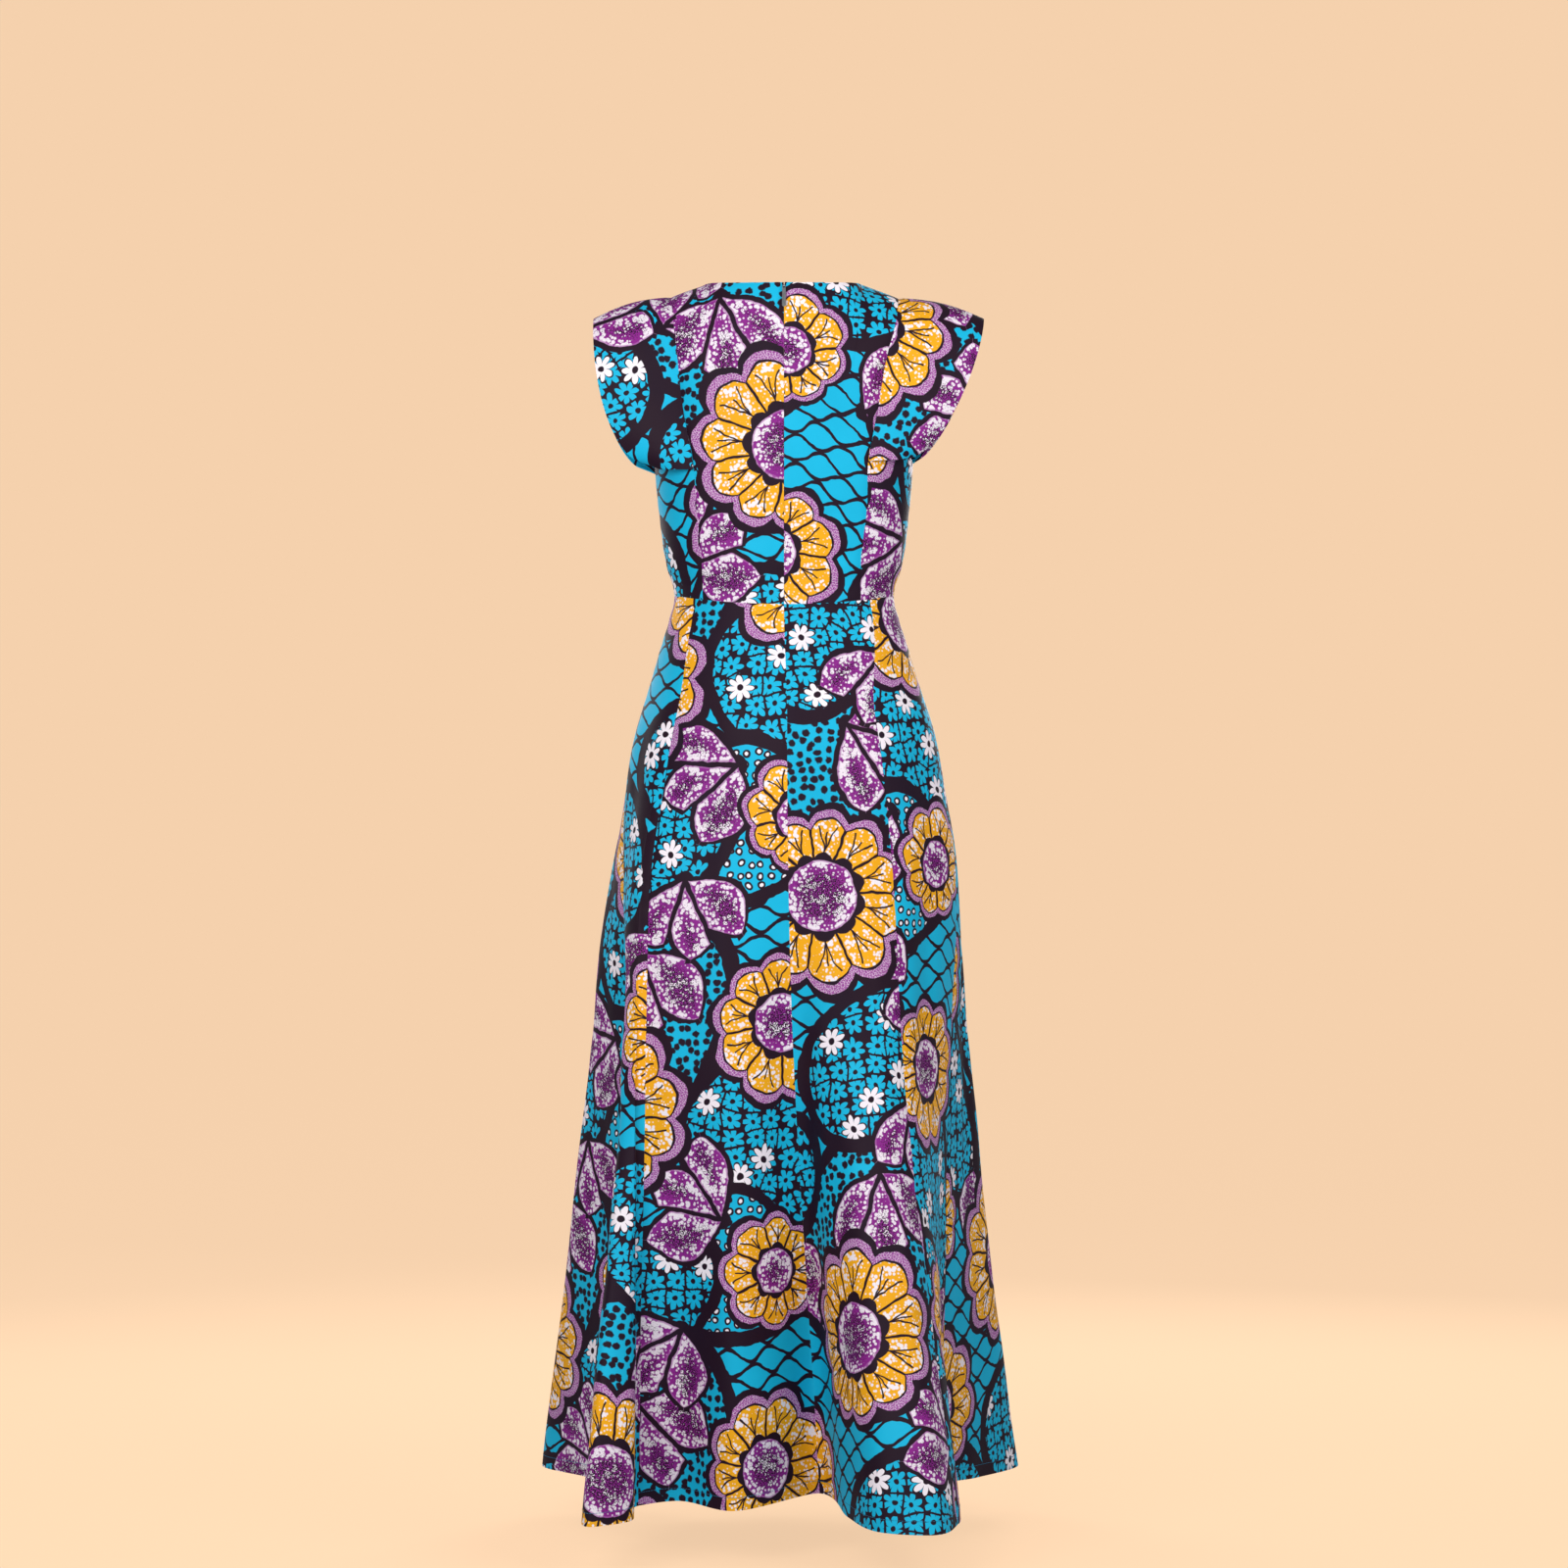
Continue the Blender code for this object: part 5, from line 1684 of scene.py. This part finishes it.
def rods_along():
    """The group, and the name of the modifier's setting for each of its inputs."""
    group = bpy.data.node_groups.new("Rods along a line", "GeometryNodeTree")
    settings = {}
    for name, kind, value in ROD_INPUTS:
        kind = "NodeSocket" + kind
        socket = group.interface.new_socket(name, in_out="INPUT", socket_type=kind)
        settings[name] = socket.identifier
        if value is not None:
            socket.default_value = value
    group.interface.new_socket("Pieces", in_out="OUTPUT", socket_type="NodeSocketGeometry")
    nodes, link = group.nodes, group.links.new
    given = nodes.new("NodeGroupInput")
    result = nodes.new("NodeGroupOutput")
    curve = nodes.new("GeometryNodeMeshToCurve")
    evenly = nodes.new("GeometryNodeResampleCurve")
    evenly.mode = "LENGTH"
    tangent = nodes.new("GeometryNodeInputTangent")
    to_tangent = nodes.new("FunctionNodeAlignRotationToVector")
    to_tangent.axis = "Z"
    spin = nodes.new("FunctionNodeRotateRotation")
    spin.rotation_space = "LOCAL"
    turn = nodes.new("ShaderNodeCombineXYZ")
    as_rotation = nodes.new("FunctionNodeEulerToRotation")
    rod = nodes.new("GeometryNodeMeshCylinder")
    rod.inputs["Vertices"].default_value = ROD_SIDES
    placed = nodes.new("GeometryNodeInstanceOnPoints")
    real = nodes.new("GeometryNodeRealizeInstances")
    painted = nodes.new("GeometryNodeSetMaterial")
    link(given.outputs["Line"], curve.inputs["Mesh"])
    link(curve.outputs["Curve"], evenly.inputs["Curve"])
    link(given.outputs["Step"], evenly.inputs["Length"])
    link(tangent.outputs["Tangent"], to_tangent.inputs["Vector"])
    link(given.outputs["Turn"], turn.inputs["Y"])
    link(turn.outputs["Vector"], as_rotation.inputs["Euler"])
    link(to_tangent.outputs["Rotation"], spin.inputs["Rotation"])
    link(as_rotation.outputs["Rotation"], spin.inputs["Rotate By"])
    link(given.outputs["Radius"], rod.inputs["Radius"])
    link(given.outputs["Length"], rod.inputs["Depth"])
    link(evenly.outputs["Curve"], placed.inputs["Points"])
    link(rod.outputs["Mesh"], placed.inputs["Instance"])
    link(spin.outputs["Rotation"], placed.inputs["Rotation"])
    link(placed.outputs["Instances"], real.inputs["Geometry"])
    link(real.outputs["Geometry"], painted.inputs["Geometry"])
    link(given.outputs["Material"], painted.inputs["Material"])
    link(painted.outputs["Geometry"], result.inputs["Pieces"])
    return group, settings


RODS, ROD_SETTINGS = rods_along()
print("inputs of the rods:", ", ".join(ROD_SETTINGS))


# %% Rods made a plain mesh, and the coil behind the tapes
def settled(made):
    """The object with its modifiers and its place worked into a plain mesh."""
    bpy.context.view_layer.update()
    shown = made.evaluated_get(bpy.context.evaluated_depsgraph_get())
    mesh = bpy.data.meshes.new_from_object(shown)
    mesh.transform(made.matrix_world)
    name = made.name
    bpy.data.objects.remove(made)
    return new_object(name, mesh)


def rods_on(name, points, material, **values):
    """A line through these points, with a rod at every step, as a plain mesh."""
    steps = [(i, i + 1) for i in range(len(points) - 1)]
    made = new_object(name, new_mesh(name, points, steps, []))
    rods = made.modifiers.new("rods", "NODES")
    rods.node_group = RODS
    for key, value in {**values, "Material": material}.items():
        rods[ROD_SETTINGS[key]] = value
    made = settled(made)
    made.data.shade_smooth()
    print(made.name, len(made.data.polygons), "faces")
    return made


COIL_DEPTH = WALL / 2 + TAPE_GAP + TAPE_THICK + 0.0006
COIL_STEP, COIL_WIDTH, COIL_RADIUS = 0.0013, 0.0044, 0.0005
SLIDER_LENGTH = 0.0090
COIL_TOP_Z = NECK_BACK_Z - ZIP_TOP_DROP - SLIDER_LENGTH * 0.6

centre_line = np.mean([centre_strip(sign)[:, 0] for sign in (-1, 1)], axis=0)
outward = normals_of(facing_out(centre_strip(1)))[:, 0]
outward[:, 0] = 0
coil_line = centre_line - outward * COIL_DEPTH
coil = rods_on(
    "zip_coil", coil_line[coil_line[:, 2] < COIL_TOP_Z], COIL,
    Step=COIL_STEP, Length=COIL_WIDTH, Radius=COIL_RADIUS, Turn=math.pi / 2,
)

# %% [markdown]
# ## The slider and its pull tab
#
# The slider stays at the neck. Its cast body lies behind the tapes, and a bridge runs out
# through the parted edges to a ring. Only the pull tab moves: it swings about the bar in
# that ring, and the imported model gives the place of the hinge. At this size a box with
# rounded edges and a lathed ring are all the slider needs. The tab is a flat outline with a
# window, and the curve itself gives it its thickness and its round edges.

# %% Where the slider and its hinge are
near_top = [1 - NOTCH_FOOT / ARCH_LENGTH, 1.0]
centre = half_surface(1, -1, np.array([0.0, 0.1]), [0, BACK_ARCH.share], near_top)[:, 0]
foot, top = centre[-2], centre[-1]
rise = (top - foot) / np.linalg.norm(top - foot)
slider_place = Vector(top - rise * (ZIP_TOP_DROP + SLIDER_LENGTH / 2))
lean = math.atan2(rise[1], rise[2])
swing = next(joint for joint in frame["joints"] if joint["name"] == "zip_pull_swing")
hinge = Vector(swing["pos_m"])
print("slider at", [round(value, 5) for value in slider_place])
print("hinge at", [round(value, 5) for value in hinge])

# %% A box, a lathed ring and smooth metal
RING_STEPS = 40
METAL_SHARP_ANGLE = math.radians(40)


def solid_box(name, low, high):
    form = bmesh.new()
    bmesh.ops.create_cube(form, size=1)
    for point in form.verts:
        place = zip(point.co, low, high)
        point.co = Vector(start + (share + 0.5) * (end - start) for share, start, end in place)
    mesh = bpy.data.meshes.new(name)
    form.to_mesh(mesh)
    form.free()
    return new_object(name, mesh)


def lathe_ring(name, outer, inner, width, middle):
    """A ring about X with rounded edges."""
    edge = 0.15 * (outer - inner)
    profile = [
        (inner, -width / 2 + edge), (inner + edge, -width / 2), (outer - edge, -width / 2),
        (outer, -width / 2 + edge), (outer, width / 2 - edge), (outer - edge, width / 2),
        (inner + edge, width / 2), (inner, width / 2 - edge),
    ]
    turns = np.arange(RING_STEPS) * 2 * math.pi / RING_STEPS
    points = [
        (x, middle[1] + radius * math.cos(turn), middle[2] + radius * math.sin(turn))
        for turn in turns for radius, x in profile
    ]
    count = len(profile)
    number = np.arange(len(points)).reshape(RING_STEPS, count)
    ahead = np.roll(number, -1, axis=0)
    corners = [number, np.roll(number, -1, axis=1), np.roll(ahead, -1, axis=1), ahead]
    faces = np.stack(corners, axis=2).reshape(-1, 4).tolist()
    return new_object(name, new_mesh(name, points, [], faces))


def smooth_metal(made):
    made.data.shade_smooth()
    made.data.set_sharp_from_angle(angle=METAL_SHARP_ANGLE)
    return made


print("a ring is turned in", RING_STEPS, "steps")

# %% The slider
SLIDER_WIDTH = 0.0064
SLIDER_DEPTH = 0.0024
SLIDER_EDGE = 0.0006
BRIDGE_LENGTH = 0.0040
BRIDGE_EDGE = 0.0002
RING_OUTER = 0.0018
RING_INNER = 0.0010
RING_STAND = 0.0002

ring_y = -(WALL / 2 + RING_STAND + RING_OUTER)
ring_wall = (RING_OUTER - RING_INNER) / 2
inner_y = WALL / 2 + 2 * TAPE_GAP + TAPE_THICK
half, length = SLIDER_WIDTH / 2, SLIDER_LENGTH / 2
body = solid_box("slider_body", (-half, inner_y, -length), (half, inner_y + SLIDER_DEPTH, length))
bridge = solid_box(
    "slider_bridge",
    (-BRIDGE_WIDTH / 2, ring_y + RING_OUTER - ring_wall, -BRIDGE_LENGTH / 2),
    (BRIDGE_WIDTH / 2, inner_y + SLIDER_DEPTH / 2, BRIDGE_LENGTH / 2),
)
ring = lathe_ring("slider_ring", RING_OUTER, RING_INNER, BRIDGE_WIDTH, (0, ring_y, 0))
metal_parts = []
for made, edge in ((body, SLIDER_EDGE), (bridge, BRIDGE_EDGE), (ring, None)):
    if edge:
        rounded = made.modifiers.new("rounded", "BEVEL")
        rounded.width = edge
        rounded.segments = 3
        rounded.limit_method = "ANGLE"
    made.location = slider_place
    made.rotation_euler = (-lean, 0, 0)
    made.data.materials.append(METAL)
    metal_parts.append(smooth_metal(settled(made)))
print("slider parts:", [made.name for made in metal_parts])

# %% The pull tab
PULL_LENGTH = 0.0280
PULL_TOP_WIDTH = 0.0040
PULL_LOW_WIDTH = 0.0046
PULL_THICK = 0.0009
PULL_BAR = 0.0009
PULL_WINDOW = 0.0032
PULL_WINDOW_WIDTH = 0.0021
PULL_EDGE = 0.00018
PULL_LEAN = math.radians(5)


def pull_tab():
    """A flat drop with a window for the ring, its edges rounded, hung from the hinge."""
    top = PULL_BAR / 2
    low_half = PULL_LOW_WIDTH / 2
    tip = top - PULL_LENGTH
    turns = np.linspace(0, math.pi, 33)
    drop = [(low_half * math.cos(turn), tip + low_half * (1 - math.sin(turn))) for turn in turns]
    outline = [(-PULL_TOP_WIDTH / 2, top), *reversed(drop), (PULL_TOP_WIDTH / 2, top)]
    half = PULL_WINDOW_WIDTH / 2
    window = [(-half, -top), (half, -top), (half, -PULL_WINDOW), (-half, -PULL_WINDOW)]
    shape = bpy.data.curves.new("pull", "CURVE")
    shape.dimensions = "2D"
    shape.fill_mode = "BOTH"
    shape.extrude = PULL_THICK / 2 - PULL_EDGE
    shape.bevel_depth = PULL_EDGE
    shape.offset = -PULL_EDGE
    shape.bevel_resolution = 3
    for loop in (outline, window):
        spline = shape.splines.new("POLY")
        spline.points.add(len(loop) - 1)
        for point, (x, y) in zip(spline.points, loop):
            point.co = (x, y, 0, 1)
        spline.use_cyclic_u = True
    made = new_object("pull_tab", shape)
    made.location = hinge
    made.rotation_euler = (math.pi / 2 - lean - PULL_LEAN, 0, 0)
    made.data.materials.append(METAL)
    return smooth_metal(settled(made))


pull = pull_tab()
print("pull tab:", len(pull.data.polygons), "faces")

# %% [markdown]
# ## The hem's stitches
#
# A row of small stitches holds the hem 15 mm above its edge. They could be a bump in the
# print, but real thread stands on the cloth and catches the light. The line that they
# follow is read off each gore's own surface, folds and creases included.

# %% Stitches along the hem
STITCH_STEP = 0.0036
STITCH_LENGTH = 0.0025
STITCH_RADIUS = 0.00028
STITCH_SUNK = 0.6  # share of the radius that is pulled into the cloth
HEM_STITCH = 0.015
HEM_BAND = 0.04  # share of the skirt's height that is worked out for the line
HEM_LINE_STEP = 0.006


def line_above_hem(first, last, height):
    """Points on the outside of a gore, this far above its hem."""
    count = max(60, round(gore_width(first, last) / HEM_LINE_STEP))
    shares = 1 - np.linspace(0, HEM_BAND, 12)
    surface = skirt_surface(first, last, np.linspace(0.002, 0.998, count), shares)
    surface = facing_out(surface)
    outward = normals_of(surface)
    lift = creased(surface, outward) + CLOTH / 2 + STITCH_RADIUS * (1 - STITCH_SUNK)
    surface = surface + outward * lift[..., None]
    lanes = zip(running(surface, 0).T, surface.swapaxes(0, 1))
    return np.array([[np.interp(height, up, axis) for axis in lane.T] for up, lane in lanes])


stitches = {}
for name, first, last in gores:
    stitches["skirt_" + name] = rods_on(
        "hem_stitches_" + name, line_above_hem(first, last, HEM_STITCH), THREAD,
        Step=STITCH_STEP, Length=STITCH_LENGTH, Radius=STITCH_RADIUS, Turn=0.0,
    )
print("stitch faces:", sum(len(made.data.polygons) for made in stitches.values()))

# %% [markdown]
# ## What stands for what
#
# Each piece now takes the place of its imported node and says which body it moves with.

# %% Bodies and nodes
for node, piece in made_cloth.items():
    kind = node.split("_")[0]
    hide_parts(node)
    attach(piece.object, "dress")
    ["cloth_bodice_back_left", "cloth_bodice_front"] if kind == "skirt" else []
    [stitches[node]] if node in stitches else []
for made in stitches.values():
    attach(made, "dress")
for side, piece in tapes.items():
    piece.object.data.materials.append(TAPE)
    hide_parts("zip_tape_" + side)
    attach(piece.object, "dress")
    "cloth_bodice_back_" + side
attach(coil, "dress")
for made in metal_parts:
    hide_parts("zip_slider")
    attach(made, "dress")
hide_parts("zip_pull")
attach(pull, "zip_pull")
print("pieces:", len(made_cloth) + len(stitches) + len(tapes) + len(metal_parts) + 2)

# %% [markdown]
# ## The room and the camera
#
# A plain pale floor, four soft boxes around the dress and a level camera. A curved paper
# sweep would hide the floor's edge from one side only. This floor runs on until it meets a
# sky of its own colour, so no edge shows from any side. The boxes hang near the shoulders,
# so the light falls off towards the hem.

# %% The floor
FLOOR_Z = -1.479
FLOOR_HALF = 200.0
ROOM = ink(245, 209, 173)
ROOM_LIGHT = 0.34
FLOOR_PAINT = 0.26


def studio_floor():
    """A floor that has the room's colour from afar and still shows light and shadow."""
    corners = [(-1, -1), (1, -1), (1, 1), (-1, 1)]
    points = [(x * FLOOR_HALF, y * FLOOR_HALF, FLOOR_Z) for x, y in corners]
    made = new_object("studio_floor", new_mesh("studio_floor", points, [], [(0, 1, 2, 3)]))
    material, _, shader = new_material("studio_floor", roughness=0.9)
    painted = [channel * FLOOR_PAINT for channel in ROOM[:3]]
    glow = [channel * (1 - FLOOR_PAINT * ROOM_LIGHT) for channel in ROOM[:3]]
    shader.inputs["Base Color"].default_value = (*painted, 1)
    shader.inputs["Emission Color"].default_value = (*glow, 1)
    shader.inputs["Emission Strength"].default_value = 1.0
    shader.inputs["Specular IOR Level"].default_value = 0.0
    made.data.materials.append(material)
    made.visible_diffuse = False
    made.visible_glossy = False
    return made


floor = studio_floor()
print("floor at", FLOOR_Z, "m")

# %% Lamps and the sky
Lamp = namedtuple("Lamp", "name place power")
LAMPS = (
    Lamp("back_key", (-0.9, -2.3, 0.26), 39),
    Lamp("back_fill", (1.5, -1.9, 0.24), 23),
    Lamp("front_key", (0.9, 2.3, 0.26), 36),
    Lamp("front_fill", (-1.5, 1.9, 0.24), 21),
)
LAMP_SIDE = 1.3
LAMP_AIM = Vector((0, 0, -0.45))


def soft_box(lamp):
    light = bpy.data.lights.new(lamp.name, "AREA")
    light.size = LAMP_SIDE
    light.energy = lamp.power
    made = new_object(lamp.name, light)
    made.location = lamp.place
    made.rotation_euler = (LAMP_AIM - Vector(lamp.place)).to_track_quat("-Z", "Y").to_euler()
    made.visible_camera = False


def room():
    """Even white light for the cloth, and the floor's colour where the camera looks past it."""
    world = bpy.data.worlds.new("studio")
    bpy.context.scene.world = world
    world.use_nodes = True
    nodes, link = world.node_tree.nodes, world.node_tree.links.new
    light = nodes["Background"]
    light.inputs["Color"].default_value = (1, 1, 1, 1)
    light.inputs["Strength"].default_value = ROOM_LIGHT
    seen = nodes.new("ShaderNodeBackground")
    seen.inputs["Color"].default_value = ROOM
    mix = nodes.new("ShaderNodeMixShader")
    link(nodes.new("ShaderNodeLightPath").outputs["Is Camera Ray"], mix.inputs[0])
    link(light.outputs[0], mix.inputs[1])
    link(seen.outputs[0], mix.inputs[2])
    link(mix.outputs[0], nodes["World Output"].inputs["Surface"])


for lamp in LAMPS:
    soft_box(lamp)
room()
print("lamps:", len(bpy.data.lights))

# %% The camera
EYE_AWAY = 5.5
EYE_Z = -0.581
LENS, SENSOR = 107.2, 36.0  # millimetres
eye = bpy.data.cameras.new("camera")
eye.lens = LENS
eye.sensor_width = SENSOR
camera = new_object("camera", eye)
camera.location = (0, -EYE_AWAY, EYE_Z)
camera.rotation_euler = (math.pi / 2, 0, 0)
bpy.context.scene.camera = camera
bpy.context.scene.view_settings.view_transform = "Standard"
print("lens", LENS, "mm: the view is", round(EYE_AWAY * SENSOR / LENS, 3), "m wide at the dress")
